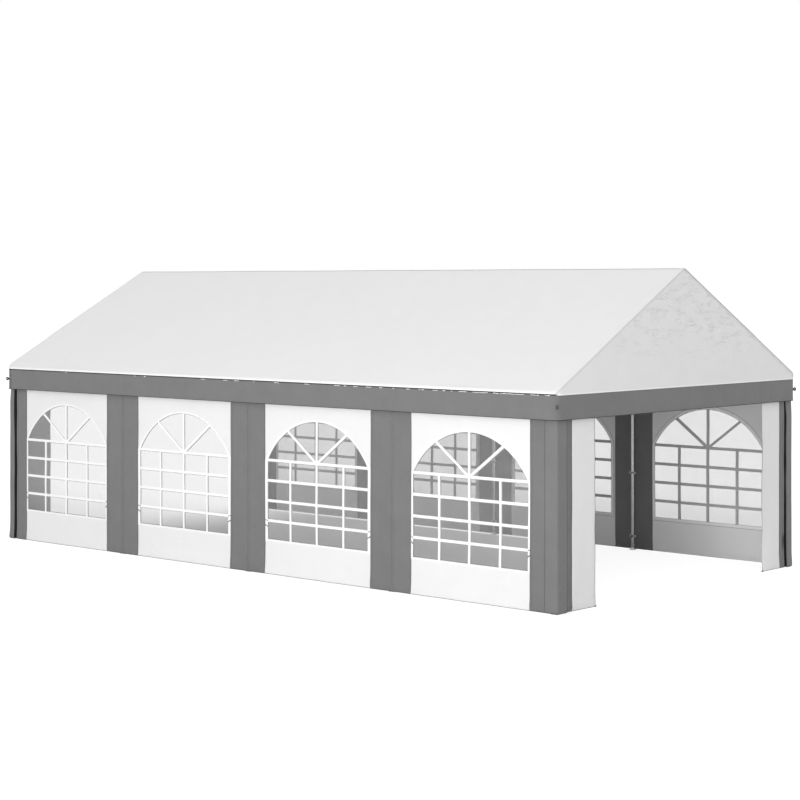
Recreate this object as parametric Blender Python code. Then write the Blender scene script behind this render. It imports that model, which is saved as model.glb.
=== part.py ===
"""Marquee tent of four bays: a frame of steel tubes and connectors under a pitched roof cover.

The cover has gables and a valance. Side walls with arched windows hang from the eave rails,
and narrow curtains hang beside the open doorway in each end.

X runs along the tent, Y across it and Z up. The origin is on the ground under the middle.
Front is -Y, right is +X, back is +Y and left is -X.
"""

import math

import bmesh
import bpy
from mathutils import Matrix, Vector

# Driving sizes in metres, over the outside of the walls
LENGTH = 8.0
WIDTH = 4.0
BAYS = 4
RIDGE_HEIGHT = 3.106
EAVE_HEIGHT = 1.967
VALANCE_DROP = 0.231
OVERHANG = 0.044
DOORWAY_WIDTH = 2.86

# Clearance between pieces that touch, and the thickness that stands in for cloth
GAP = 0.0003
CLOTH = 0.004
CLEAR_SHEET = 0.0015

# Frame of 38 mm tubes
TUBE_RADIUS = 0.019
LEG_SOCKET_RADIUS = 0.0208
SLOPE_SOCKET_RADIUS = 0.0205
TIE_SOCKET_RADIUS = 0.0202
HUB_RADIUS = 0.0215
HUB_REACH = 0.08
SOCKET_REACH = 0.10
ROUND_SIDES = 12
PLATE_SIZE = 0.065
PLATE_THICKNESS = 0.004
CLIP_HEIGHTS = (0.175, 0.90)
CLIP_HEIGHT = 0.032
LUG_RADIUS = 0.011
LUG_SIDES = 8
LUG_REACH = 0.040
HOOK_WIDTH = 0.030
HOOK_PLACES = (1.50, 1.80)

# Roof cover
EAVE_ROLL_RADIUS = 0.040
EAVE_ROLL_HEIGHT = 0.025
RIDGE_STEPS = 3
EAVE_STEPS = 4

# Walls, windows and curtains
HEM_HEIGHT = 0.006
WALL_TOP = 1.974
CURTAIN_TOP = 2.003
CORNER_STEPS = 3
WINDOW_HALF_WIDTH = 0.700
WINDOW_SILL = 0.360
WINDOW_SPRINGING = 1.166
WINDOW_TOP = 1.583
WINDOW_PITCH = 1.987
WINDOW_LAP = 0.020
ARCH_STEPS = 16
LEFT_SLIT_START = 0.080
LEFT_SLIT_END = 0.105
FRONT_WRAP = 0.142
BACK_WRAP = 0.100
CURTAIN_OUTER_EDGE = 1.860

# Worked out from the sizes above
BAY = LENGTH / BAYS
CORNER_RADIUS = CLOTH + GAP + HUB_RADIUS
LEG_X = LENGTH / 2 - CORNER_RADIUS
LEG_Y = WIDTH / 2 - CORNER_RADIUS
COVER_X = LENGTH / 2 + OVERHANG
COVER_Y = WIDTH / 2 + OVERHANG
RIDGE_AXIS_Z = RIDGE_HEIGHT - CORNER_RADIUS
ROLL_TOP_Z = EAVE_HEIGHT + EAVE_ROLL_HEIGHT
EAVE_TO_RIDGE = Vector((COVER_Y, RIDGE_AXIS_Z - ROLL_TOP_Z))
PITCH = math.atan2(EAVE_TO_RIDGE.y, EAVE_TO_RIDGE.x) + math.asin(CORNER_RADIUS / EAVE_TO_RIDGE.length)
EAVE_AXIS_Z = RIDGE_AXIS_Z - LEG_Y * math.tan(PITCH)
DOORWAY_EDGE = DOORWAY_WIDTH / 2

# Turn of each side about Z, from a sheet that faces the front
SIDE_TURNS = {"front": 0.0, "right": 90.0, "back": 180.0, "left": 270.0}


def clear_scene():
    """Removes every object that is in the scene at the start."""
    for item in list(bpy.data.objects):
        bpy.data.objects.remove(item)


def linear(value):
    """Turns one sRGB channel, 0 to 1, to linear light."""
    if value <= 0.04045:
        return value / 12.92
    return ((value + 0.055) / 1.055) ** 2.4


def make_material(name, colour, roughness, metallic=0.0, alpha=1.0):
    """Makes a Principled BSDF material from an sRGB hex colour."""
    channels = [linear(int(colour[i:i + 2], 16) / 255) for i in (0, 2, 4)]
    material = bpy.data.materials.new(name)
    material.use_nodes = True
    shader = material.node_tree.nodes["Principled BSDF"]
    shader.inputs["Base Color"].default_value = (*channels, 1.0)
    shader.inputs["Roughness"].default_value = roughness
    shader.inputs["Metallic"].default_value = metallic
    shader.inputs["Alpha"].default_value = alpha
    return material


def steel():
    """Galvanised steel of the tubes and connectors."""
    return make_material("galvanised_steel", "B4B4AE", 0.42, metallic=0.6)


def roof_cloth():
    """White coated cloth of the roof and the gables."""
    return make_material("white_roof_cloth", "F1F1F0", 0.55)


def valance_cloth():
    """Grey coated cloth of the valance."""
    return make_material("grey_valance_cloth", "868686", 0.6)


def wall_cloth():
    """White coated cloth of the walls and the curtains."""
    return make_material("white_wall_cloth", "F4F4F3", 0.55)


def clear_plastic():
    """Clear soft sheet of the windows."""
    return make_material("clear_window_sheet", "DDE3E6", 0.12, alpha=0.3)


def add_piece(name, mesh, material):
    """Puts a mesh into the scene as a named piece."""
    if not mesh.materials:
        mesh.materials.append(material)
    piece = bpy.data.objects.new(name, mesh)
    bpy.context.collection.objects.link(piece)
    return piece


def round_bar(start, end, radius, sides=ROUND_SIDES):
    """A capped round bar from one point to another."""
    start = Vector(start)
    end = Vector(end)
    turn = (end - start).to_track_quat("Z", "Y").to_matrix().to_4x4()
    solid = bmesh.new()
    bmesh.ops.create_cone(
        solid, cap_ends=True, segments=sides, radius1=radius, radius2=radius,
        depth=(end - start).length, matrix=Matrix.Translation((start + end) / 2) @ turn)
    return solid


def square_plate(size, thickness):
    """A flat square plate that stands on the ground."""
    solid = bmesh.new()
    shape = Matrix.Diagonal((size, size, thickness, 1.0))
    bmesh.ops.create_cube(solid, size=1.0, matrix=Matrix.Translation((0, 0, thickness / 2)) @ shape)
    return solid


def fuse(name, solids):
    """Joins overlapping solids into one closed mesh with Boolean unions."""
    parts = []
    for solid in solids:
        mesh = bpy.data.meshes.new(name)
        solid.to_mesh(mesh)
        solid.free()
        part = bpy.data.objects.new(name, mesh)
        bpy.context.collection.objects.link(part)
        parts.append(part)
    base = parts[0]
    for part in parts[1:]:
        union = base.modifiers.new("union", "BOOLEAN")
        union.operation = "UNION"
        union.solver = "EXACT"
        union.object = part
    evaluated = base.evaluated_get(bpy.context.evaluated_depsgraph_get())
    fused = bpy.data.meshes.new_from_object(evaluated)
    for part in parts:
        bpy.data.objects.remove(part)
    fused.name = name
    fused.shade_smooth()
    fused.set_sharp_from_angle(angle=math.radians(40))
    return fused


def along_slope(distance):
    """Offset in Y and Z, up the roof towards the back, from the front eave axis."""
    return Vector((0, math.cos(PITCH), math.sin(PITCH))) * distance


def leg_solids(lug_directions):
    """Tube, foot plate, and two wall clips with their lugs."""
    top = EAVE_AXIS_Z - SOCKET_REACH - GAP
    solids = [
        round_bar((0, 0, PLATE_THICKNESS / 2), (0, 0, top), TUBE_RADIUS),
        square_plate(PLATE_SIZE, PLATE_THICKNESS),
    ]
    for height in CLIP_HEIGHTS:
        low = (0, 0, height - CLIP_HEIGHT / 2)
        high = (0, 0, height + CLIP_HEIGHT / 2)
        solids.append(round_bar(low, high, HUB_RADIUS))
        for direction in lug_directions:
            reach = Vector(direction) * LUG_REACH
            middle = Vector((0, 0, height))
            solids.append(round_bar(middle, middle + reach, LUG_RADIUS, LUG_SIDES))
    return solids


def arch_places():
    """Places along X of the legs and rafters; the end ones stand inside the end walls."""
    inner = [(index - BAYS / 2) * BAY for index in range(1, BAYS)]
    return [-LEG_X, *inner, LEG_X]


def build_legs(material):
    """Five legs on each long side; corner legs have their lugs towards both walls."""
    middle_mesh = fuse("middle_leg", leg_solids([(1, 0, 0), (-1, 0, 0)]))
    corner_mesh = fuse("corner_leg", leg_solids([(1, 0, 0), (0, 1, 0)]))
    places = arch_places()
    corner_turns = {("front", 1): 0, ("front", len(places)): 90, ("back", len(places)): 180, ("back", 1): 270}
    for side, y in (("front", -LEG_Y), ("back", LEG_Y)):
        for number, x in enumerate(places, start=1):
            corner = (side, number) in corner_turns
            leg = add_piece(f"leg_{side}_{number}", corner_mesh if corner else middle_mesh, material)
            leg.location = (x, y, 0)
            leg.rotation_euler.z = math.radians(corner_turns.get((side, number), 0))


def build_rafters(material):
    """A straight tube from each eave connector to the ridge connector."""
    start = along_slope(SOCKET_REACH + GAP)
    end = along_slope(LEG_Y / math.cos(PITCH) - SOCKET_REACH - GAP)
    mesh = fuse("rafter", [round_bar(start, end, TUBE_RADIUS)])
    for side, y, turn in (("front", -LEG_Y, 0), ("back", LEG_Y, 180)):
        for number, x in enumerate(arch_places(), start=1):
            rafter = add_piece(f"rafter_{side}_{number}", mesh, material)
            rafter.location = (x, y, EAVE_AXIS_Z)
            rafter.rotation_euler.z = math.radians(turn)


def rail_solids(sockets_at):
    """A tube along the tent with a hub at each arch, and the hub's sockets."""
    solids = [round_bar((-LEG_X, 0, 0), (LEG_X, 0, 0), TUBE_RADIUS)]
    for x in arch_places():
        low = max(x - HUB_REACH, -LEG_X - HUB_RADIUS)
        high = min(x + HUB_REACH, LEG_X + HUB_RADIUS)
        solids.append(round_bar((low, 0, 0), (high, 0, 0), HUB_RADIUS))
        middle = Vector((x, 0, 0))
        for direction, radius in sockets_at(x):
            solids.append(round_bar(middle, middle + direction * SOCKET_REACH, radius))
    return solids


def eave_sockets(x):
    """Sockets for the leg and the rafter, and for the tie bar at the ends, with their radii."""
    sockets = [(Vector((0, 0, -1)), LEG_SOCKET_RADIUS), (along_slope(1), SLOPE_SOCKET_RADIUS)]
    if abs(x) == LEG_X:
        sockets.append((Vector((0, 1, 0)), TIE_SOCKET_RADIUS))
    return sockets


def ridge_sockets(x):
    """Sockets for the two rafters of each arch, with their radius."""
    down = -along_slope(1)
    turned = Matrix.Rotation(math.pi, 3, "Z") @ down
    return [(down, SLOPE_SOCKET_RADIUS), (turned, SLOPE_SOCKET_RADIUS)]


def build_rails(material):
    """The ridge rail and the two eave rails, each with its five connectors."""
    ridge = add_piece("ridge_rail", fuse("ridge_rail", rail_solids(ridge_sockets)), material)
    ridge.location = (0, 0, RIDGE_AXIS_Z)
    eave_mesh = fuse("eave_rail", rail_solids(eave_sockets))
    for side, y, turn in (("front", -LEG_Y, 0), ("back", LEG_Y, 180)):
        rail = add_piece(f"eave_rail_{side}", eave_mesh, material)
        rail.location = (0, y, EAVE_AXIS_Z)
        rail.rotation_euler.z = math.radians(turn)


def build_tie_bars(material):
    """A tube across each end at the eaves, with the hooks that the curtains hang from."""
    end = LEG_Y - SOCKET_REACH - GAP
    solids = [round_bar((0, -end, 0), (0, end, 0), TUBE_RADIUS)]
    for place in HOOK_PLACES:
        for y in (-place, place):
            low = (0, y - HOOK_WIDTH / 2, 0)
            high = (0, y + HOOK_WIDTH / 2, 0)
            solids.append(round_bar(low, high, HUB_RADIUS))
    mesh = fuse("tie_bar", solids)
    for side, x in (("left", -LEG_X), ("right", LEG_X)):
        bar = add_piece(f"tie_bar_{side}", mesh, material)
        bar.location = (x, 0, EAVE_AXIS_Z)


def polar(centre, radius, angle):
    """The point at an angle in degrees on a circle."""
    turn = math.radians(angle)
    return Vector((centre.x + radius * math.cos(turn), centre.y + radius * math.sin(turn)))


def bend_corners(centre, radius, start, end, steps):
    """Corners of a bend whose flat faces all touch a circle, between two straight runs."""
    step = (end - start) / steps
    reach = radius / math.cos(math.radians(step / 2))
    return [polar(centre, reach, start + (index + 0.5) * step) for index in range(steps)]


def cover_path(inset):
    """Half of the roof's cross-section, from the ridge down to the top of the valance.

    It is set in from the outer face by inset. Points are Y, away from the ridge, and Z.
    """
    slope = math.degrees(PITCH)
    ridge_axis = Vector((0, RIDGE_AXIS_Z))
    roll_run = EAVE_ROLL_RADIUS * math.tan(math.radians(90 - slope) / 2)
    roll_axis = Vector((COVER_Y - EAVE_ROLL_RADIUS, ROLL_TOP_Z - roll_run))
    return [
        Vector((0, RIDGE_HEIGHT - inset)),
        *bend_corners(ridge_axis, CORNER_RADIUS - inset, 90, 90 - slope, RIDGE_STEPS),
        *bend_corners(roll_axis, EAVE_ROLL_RADIUS - inset, 90 - slope, 0, EAVE_STEPS),
        Vector((COVER_Y - inset, EAVE_HEIGHT)),
    ]


def add_loop(sheet, points):
    """Adds a closed loop of edges to a sheet that stands in the XZ plane."""
    verts = [sheet.verts.new((x, 0, z)) for x, z in points]
    return [sheet.edges.new(pair) for pair in zip(verts, verts[1:] + verts[:1])]


def fill_sheet(outline, holes=()):
    """A flat sheet in the XZ plane inside an outline, less its holes."""
    sheet = bmesh.new()
    edges = add_loop(sheet, outline)
    for hole in holes:
        edges += add_loop(sheet, hole)
    bmesh.ops.triangle_fill(sheet, use_beauty=True, use_dissolve=False, edges=edges)
    return sheet


def wrap_edge(sheet, x, direction, tail):
    """Carries an upright edge of a sheet round a corner leg and on along the next side."""
    edge = [item for item in sheet.edges if all(abs(vert.co.x - x) < GAP for vert in item.verts)]
    turned = bmesh.ops.spin(
        sheet, geom=edge, cent=(x, CORNER_RADIUS, 0), axis=(0, 0, 1),
        angle=direction * math.radians(90), steps=CORNER_STEPS)
    last = [item for item in turned["geom_last"] if isinstance(item, bmesh.types.BMEdge)]
    grown = bmesh.ops.extrude_edge_only(sheet, edges=last)
    verts = [item for item in grown["geom"] if isinstance(item, bmesh.types.BMVert)]
    bmesh.ops.translate(sheet, verts=verts, vec=(0, tail - CORNER_RADIUS, 0))


def finish_sheet(name, sheet, outward, thickness, material):
    """Faces a sheet outwards and gives it its thickness on the inner side."""
    bmesh.ops.recalc_face_normals(sheet, faces=sheet.faces)
    largest = max(sheet.faces, key=lambda face: face.calc_area())
    if largest.normal.dot(Vector(outward)) < 0:
        bmesh.ops.reverse_faces(sheet, faces=sheet.faces)
    mesh = bpy.data.meshes.new(name)
    sheet.to_mesh(mesh)
    sheet.free()
    piece = add_piece(name, mesh, material)
    shell = piece.modifiers.new("thickness", "SOLIDIFY")
    shell.thickness = thickness
    shell.offset = -1.0
    shell.use_even_offset = True
    return piece


def stand(piece, side, along, distance):
    """Stands a sheet on one side, a distance out from the middle and some way along it."""
    turn = Matrix.Rotation(math.radians(SIDE_TURNS[side]), 3, "Z")
    piece.location = turn @ Vector((along, -distance, 0))
    piece.rotation_euler.z = math.radians(SIDE_TURNS[side])


def build_roof(material):
    """The two slopes of the roof cover, from the ridge to the roll over the eave."""
    for side in ("front", "back"):
        sheet = bmesh.new()
        path = cover_path(0)
        path[0].x = GAP / 2
        verts = [sheet.verts.new((-COVER_X, -y, z)) for y, z in path]
        edges = [sheet.edges.new(pair) for pair in zip(verts, verts[1:])]
        grown = bmesh.ops.extrude_edge_only(sheet, edges=edges)
        far = [item for item in grown["geom"] if isinstance(item, bmesh.types.BMVert)]
        bmesh.ops.translate(sheet, verts=far, vec=(2 * COVER_X, 0, 0))
        outward = (0, -math.sin(PITCH), math.cos(PITCH))
        slope = finish_sheet(f"roof_{side}", sheet, outward, CLOTH, material)
        slope.rotation_euler.z = math.radians(SIDE_TURNS[side])


def build_gables(material):
    """The triangle of cloth under the roof at each end."""
    half = cover_path(CLOTH + GAP)
    outline = [(y, z) for y, z in half] + [(-y, z) for y, z in reversed(half[1:])]
    for side in ("left", "right"):
        gable = finish_sheet(f"gable_{side}", fill_sheet(outline), (0, -1, 0), CLOTH, material)
        stand(gable, side, 0, COVER_X)


def rectangle(low, high, bottom, top):
    """Corners of an upright rectangle."""
    return [(low, bottom), (high, bottom), (high, top), (low, top)]


def build_valances(material):
    """The four strips that hang from the edge of the roof."""
    top = EAVE_HEIGHT - GAP
    bottom = EAVE_HEIGHT - VALANCE_DROP
    end_half = COVER_Y - CLOTH - GAP
    for side, half, distance in (
            ("front", COVER_X, COVER_Y), ("back", COVER_X, COVER_Y),
            ("left", end_half, COVER_X), ("right", end_half, COVER_X)):
        sheet = fill_sheet(rectangle(-half, half, bottom, top))
        valance = finish_sheet(f"valance_{side}", sheet, (0, -1, 0), CLOTH, material)
        stand(valance, side, 0, distance)


def window_outline(middle, grow):
    """A window's outline: straight sides up to the springing, then a flat arch."""
    half = WINDOW_HALF_WIDTH
    rise = WINDOW_TOP - WINDOW_SPRINGING
    radius = (half ** 2 + rise ** 2) / (2 * rise)
    centre = Vector((middle, WINDOW_TOP - radius))
    reach = math.degrees(math.asin(half / radius))
    step = 2 * reach / ARCH_STEPS
    arch = [polar(centre, radius + grow, 90 - reach + index * step) for index in range(ARCH_STEPS + 1)]
    sill = WINDOW_SILL - grow
    spring = arch[0].y
    return [
        (middle - half - grow, sill), (middle + half + grow, sill),
        (middle + half + grow, spring), *[(point.x, point.y) for point in arch[1:-1]],
        (middle - half - grow, spring),
    ]


def wall_edges(bay):
    """Where a wall panel starts and ends along X, before it turns the corner."""
    low = -LENGTH / 2 + bay * BAY + GAP / 2
    high = low + BAY - GAP
    if bay == 0:
        low = -LENGTH / 2 + LEFT_SLIT_END
    if bay == BAYS - 1:
        high = LEG_X
    return low, high


def build_walls(cloth, clear):
    """One panel and one clear window for each bay; the last panels turn the right corners."""
    for side, way, wrap in (("front", 1, FRONT_WRAP), ("back", -1, BACK_WRAP)):
        for bay in range(BAYS):
            low, high = sorted(way * edge for edge in wall_edges(bay))
            window_x = way * (bay - (BAYS - 1) / 2) * WINDOW_PITCH
            outline = rectangle(low - window_x, high - window_x, HEM_HEIGHT, WALL_TOP)
            sheet = fill_sheet(outline, [window_outline(0, 0)])
            if bay == BAYS - 1:
                wrap_edge(sheet, way * LEG_X - window_x, way, wrap)
            panel = finish_sheet(f"wall_{side}_{bay + 1}", sheet, (0, -1, 0), CLOTH, cloth)
            stand(panel, side, window_x, WIDTH / 2)
            pane_sheet = fill_sheet(window_outline(0, WINDOW_LAP))
            pane = finish_sheet(f"window_{side}_{bay + 1}", pane_sheet, (0, -1, 0), CLEAR_SHEET, clear)
            stand(pane, side, window_x, WIDTH / 2 - CLOTH - GAP)


def build_curtains(material):
    """A narrow curtain on each side of both doorways; the left ones turn their corners."""
    for side, turns_corner in (("left", True), ("right", False)):
        for depth, sign in (("front", -1), ("back", 1)):
            way = sign if side == "right" else -sign
            outer = LEG_Y if turns_corner else CURTAIN_OUTER_EDGE
            if side == "right" and depth == "front":
                outer = WIDTH / 2 - FRONT_WRAP - GAP
            middle = way * (outer + DOORWAY_EDGE) / 2
            half = (outer - DOORWAY_EDGE) / 2
            top = WALL_TOP if turns_corner else CURTAIN_TOP
            sheet = fill_sheet(rectangle(-half, half, HEM_HEIGHT, top))
            if turns_corner:
                wrap_edge(sheet, way * half, way, LEFT_SLIT_START)
            curtain = finish_sheet(f"curtain_{side}_{depth}", sheet, (0, -1, 0), CLOTH, material)
            stand(curtain, side, middle, LENGTH / 2)


def build_tent():
    """Builds the frame first, then the cover, the walls and the curtains."""
    clear_scene()
    tube_finish = steel()
    wall_finish = wall_cloth()
    build_legs(tube_finish)
    build_rafters(tube_finish)
    build_rails(tube_finish)
    build_tie_bars(tube_finish)
    roof_finish = roof_cloth()
    build_roof(roof_finish)
    build_gables(roof_finish)
    build_valances(valance_cloth())
    build_walls(wall_finish, clear_plastic())
    build_curtains(wall_finish)


build_tent()
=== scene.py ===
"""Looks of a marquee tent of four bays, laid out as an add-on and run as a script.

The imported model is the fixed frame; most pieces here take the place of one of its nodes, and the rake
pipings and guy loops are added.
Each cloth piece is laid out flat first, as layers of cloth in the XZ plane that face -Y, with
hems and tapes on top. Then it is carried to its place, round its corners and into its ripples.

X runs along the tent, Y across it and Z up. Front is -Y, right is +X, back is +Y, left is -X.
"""

import math

import bmesh
import bpy
from bpy.props import FloatProperty, FloatVectorProperty, PointerProperty
from mathutils import Matrix, Vector, noise


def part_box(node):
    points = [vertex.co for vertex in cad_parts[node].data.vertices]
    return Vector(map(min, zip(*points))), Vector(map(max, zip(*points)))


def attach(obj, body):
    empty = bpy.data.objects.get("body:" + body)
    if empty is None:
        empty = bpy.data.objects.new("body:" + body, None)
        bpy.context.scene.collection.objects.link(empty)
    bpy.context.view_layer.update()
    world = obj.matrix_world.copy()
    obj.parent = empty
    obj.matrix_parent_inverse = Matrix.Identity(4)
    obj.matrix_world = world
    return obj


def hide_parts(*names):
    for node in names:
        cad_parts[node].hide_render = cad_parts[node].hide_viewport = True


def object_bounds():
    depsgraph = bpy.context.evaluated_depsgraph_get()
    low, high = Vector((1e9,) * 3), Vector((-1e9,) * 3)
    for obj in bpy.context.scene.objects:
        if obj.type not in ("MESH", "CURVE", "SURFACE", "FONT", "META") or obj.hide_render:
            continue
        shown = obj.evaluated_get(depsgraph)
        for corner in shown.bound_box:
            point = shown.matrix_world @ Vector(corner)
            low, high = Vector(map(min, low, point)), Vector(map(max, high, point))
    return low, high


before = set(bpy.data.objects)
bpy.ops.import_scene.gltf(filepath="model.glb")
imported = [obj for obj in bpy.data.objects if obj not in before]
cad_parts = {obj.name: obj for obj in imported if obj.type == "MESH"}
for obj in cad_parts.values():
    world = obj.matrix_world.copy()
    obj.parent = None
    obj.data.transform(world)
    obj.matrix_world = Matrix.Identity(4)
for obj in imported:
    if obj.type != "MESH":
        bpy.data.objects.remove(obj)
cad_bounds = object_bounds()

bl_info = {
    "name": "Marquee Tent",
    "version": (1, 0, 0),
    "blender": (4, 5, 0),
    "location": "3D Viewport > Sidebar > Marquee Tent",
    "description": "Builds the cloth, windows, frame and studio of a marquee tent",
    "category": "Add Mesh",
}

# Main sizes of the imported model, in metres
COVER_X = cad_bounds[1].x
COVER_Y = cad_bounds[1].y
RIDGE_HEIGHT = cad_bounds[1].z
VALANCE_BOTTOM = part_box("valance_front")[0].z
EAVE_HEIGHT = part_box("roof_front")[0].z
HEM_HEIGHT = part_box("wall_front_2")[0].z
WALL_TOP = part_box("wall_front_2")[1].z
OVERHANG = 0.044
HALF_LENGTH = COVER_X - OVERHANG
HALF_WIDTH = COVER_Y - OVERHANG

# The ridge turns round its tube at this radius, and the legs stand as far in from the walls
CORNER_RADIUS = 0.0258
WALL_FOLD = 0.010
COVER_FOLD = 0.085
LEG_X = HALF_LENGTH - CORNER_RADIUS
LEG_Y = HALF_WIDTH - CORNER_RADIUS
ARCH_PLACES = (-LEG_X, -2.0, 0.0, 2.0, LEG_X)
RIDGE_AXIS_Z = RIDGE_HEIGHT - CORNER_RADIUS
EAVE_ROLL_RADIUS = 0.040
ROLL_TOP_Z = EAVE_HEIGHT + 0.025
EAVE_TO_RIDGE = Vector((COVER_Y, RIDGE_AXIS_Z - ROLL_TOP_Z))
PITCH = (
    math.atan2(EAVE_TO_RIDGE.y, EAVE_TO_RIDGE.x) + math.asin(CORNER_RADIUS / EAVE_TO_RIDGE.length))
EAVE_AXIS_Z = RIDGE_AXIS_Z - LEG_Y * math.tan(PITCH)
ROLL_AXIS_Z = ROLL_TOP_Z - EAVE_ROLL_RADIUS * math.tan((math.pi / 2 - PITCH) / 2)
ROLL_AXIS_Y = COVER_Y - EAVE_ROLL_RADIUS

# The roof's section in Y and Z: a turn over the ridge, a straight slope, a roll over the eave
RIDGE_AXIS = Vector((0, RIDGE_AXIS_Z))
ROLL_AXIS = Vector((ROLL_AXIS_Y, ROLL_AXIS_Z))
SLOPE_FACE = Vector((math.sin(PITCH), math.cos(PITCH)))
SLOPE_TOP = RIDGE_AXIS + SLOPE_FACE * CORNER_RADIUS
SLOPE_FOOT = ROLL_AXIS + SLOPE_FACE * EAVE_ROLL_RADIUS
SLOPE_LENGTH = (SLOPE_FOOT - SLOPE_TOP).length
SLOPE_START = CORNER_RADIUS * PITCH
SLOPE_END = SLOPE_START + SLOPE_LENGTH

# Tubes, sockets and feet
TUBE_RADIUS = 0.019
SOCKET_RADIUS = 0.0208
HUB_RADIUS = 0.0215
HUB_REACH = 0.08
SOCKET_REACH = 0.10
PLATE_SIZE = 0.065
PLATE_THICKNESS = 0.004
STEEL_SET = ("galvanised_steel_tube", "moulded_nylon", "woven_black_webbing")

# Elastic ties on the legs, bolts along the sockets, and rings for guy ropes
TIE_HEIGHTS = (0.150, 0.855)
TIE_REACH = 0.041
BOLT_PLACE = 0.068
GUY_HEIGHT = 1.855

# How far straps hang from the middle of a wall panel, and from the middle of a doorway
WALL_STRAPS = (-0.8, -0.27, 0.27, 0.8)
CURTAIN_STRAPS = (1.50, 1.78)
STRAP_HALF = 0.015
STRAP_THICKNESS = 0.0010

# Windows and the places of the cloth's colours
WINDOW_HALF = 0.700
WINDOW_SILL = 0.360
WINDOW_SPRINGING = 1.166
WINDOW_TOP = 1.583
ARCH_RISE = WINDOW_TOP - WINDOW_SPRINGING
ARCH_RADIUS = (WINDOW_HALF ** 2 + ARCH_RISE ** 2) / (2 * ARCH_RISE)
WINDOW_PITCH = 1.987
WHITE_HALVES = (0.721, 0.736, 0.736, 0.721)
BAR_HEIGHTS = (0.550, 0.754, 0.959, 1.166)
BAR_PLACES = (-0.37, 0.37)
FAN_END = (0.407, 1.470)
STRIP_THICKNESS = 0.0010
FILM_LAP = 0.012
# The inner strips were laid on by hand, this far along and below the outer ones
INNER_SHIFT = (0.009, 0.005)
# Outer height, inner height and width of the stitches that hold the end of the lowest strip
STITCHES = ((0.508, 0.488, 0.008), (0.557, 0.548, 0.005))
DOORWAY_EDGE = 1.430
CURTAIN_GREY_START = 1.775
CURTAIN_OUTER_EDGE = 1.860
FRONT_WRAP = 0.142
BACK_WRAP = 0.118
LEFT_WRAP = 0.066
LEFT_SLIT_END = 0.119
CORNER_PATCH = 0.128
# How far the loose outer edge of the first and of the last panel stands off
LOOSE_FLARES = {1: 0.002, 4: 0.006}

# The roof's hem and the valance are sewn together this far above the eave
SEAM_RISE = 0.008
# The windows of the back wall hang this much higher
BACK_LIFT = 0.018

# Turn of each side about Z, as cosine and sine, from a sheet that faces the front
SIDE_TURNS = {"front": (1, 0), "right": (0, 1), "back": (-1, 0), "left": (0, -1)}
# One number a side, so that no two sides ripple alike
SIDE_SEEDS = {"front": 11.7, "right": 23.2, "back": 37.9, "left": 51.4}

# First two material slots of every wall and curtain, and then all the slots of each
WHITE, GREY = 0, 1
WALL_SET = (
    "white_laminated_tarpaulin_wall", "grey_laminated_tarpaulin", "grey_laminated_tarpaulin_patch",
    "woven_black_webbing", "dark_grey_woven_tape")
CURTAIN_SET = (*WALL_SET[:2], *WALL_SET[3:])

# Turns a ring that lies flat upright, into the XZ plane
UPRIGHT = Matrix.Rotation(math.radians(90), 3, "X")

# A wave texture of scale 1 repeats after this length
WAVE_LENGTH = 0.314
# Settings that make a colour node multiply two colours
MULTIPLIED = {"data_type": "RGBA", "blend_type": "MULTIPLY"}
# Soft vinyl and nylon gleam alike
SOFT_VINYL = {"Roughness": 0.4, "IOR": 1.53}

# The tent's shade on the floor: it starts and is full at these places along the line of sight
# through the doorway, along the tent and across it, and takes this share of the floor's light
SHADE_SLANT = (0.803, 0.597, 0.0)
SHADE_EDGES = ((2.36, 1.60), (-4.8, -2.5), (1.99, 1.90))
SHADE_DEPTH = 0.65

# The camera, fitted to the corners of the tent
LENS_LENGTH = 87.65
LENS_SHIFT = (-0.0444, -0.1451)
SENSOR_WIDTH = 36.0
CAMERA_PLACE = (14.649, -15.775, 2.956)
CAMERA_HEADING = math.radians(41.258)


def linear_colour(code):
    """Turns an sRGB hex colour to linear light."""
    channels = [int(code[place:place + 2], 16) / 255 for place in (0, 2, 4)]
    return [c / 12.92 if c <= 0.04045 else ((c + 0.055) / 1.055) ** 2.4 for c in channels]


def length_prop(name, description, default):
    """A property that holds a length in metres."""
    return FloatProperty(
        name=name, description=description, default=default, min=0.0, precision=4, unit="LENGTH")


def colour_prop(name, description, code):
    """A property that holds a colour, from its sRGB hex code."""
    return FloatVectorProperty(
        name=name, description=description, default=linear_colour(code), size=3, subtype="COLOR",
        min=0.0, max=1.0)


class TentSizes(bpy.types.PropertyGroup):
    """Sizes of the cloth and its trimmings."""

    pitch: length_prop("Mesh pitch", "Distance between the rows of a cloth's mesh", 0.025)
    cloth: length_prop("Cloth thickness", "Thickness of the tarpaulin", 0.0012)
    film: length_prop("Film thickness", "Thickness of the clear window film", 0.0008)
    hem: length_prop("Hem width", "Width of the sewn hems", 0.030)
    surround: length_prop("Surround width", "Width of the tape round a window", 0.020)
    bar: length_prop("Bar width", "Width of the strips welded on the windows", 0.027)
    lean: length_prop("Gable lean", "How far the roof's ends lean in at the ridge", 0.020)
    roof_sag: length_prop("Roof sag", "How far the roof sinks between the arches", 0.012)
    ripple: length_prop("Wall ripple", "Height of the folds in the walls", 0.004)
    wrinkle: length_prop("Gable wrinkle", "Height of the wrinkles in the gables", 0.0035)
    rake: length_prop("Rake radius", "Radius of the roof's edge over a gable", 0.008)
    rake_drop: length_prop("Rake drop", "How far the roof's edge comes down a gable", 0.022)
    piping: length_prop("Piping radius", "Radius of the cord in the roof's edge", 0.0075)
    eave_lap: length_prop("Eave lap", "How far the roof's hem laps the valance", 0.003)
    drift: length_prop("Seam drift", "How far the seams of a wall wander sideways", 0.0045)
    webbing: length_prop("Webbing width", "Width of the tabs at the corners", 0.022)
    ball: length_prop("Ball radius", "Radius of the balls on the elastic ties", 0.0135)


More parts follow.
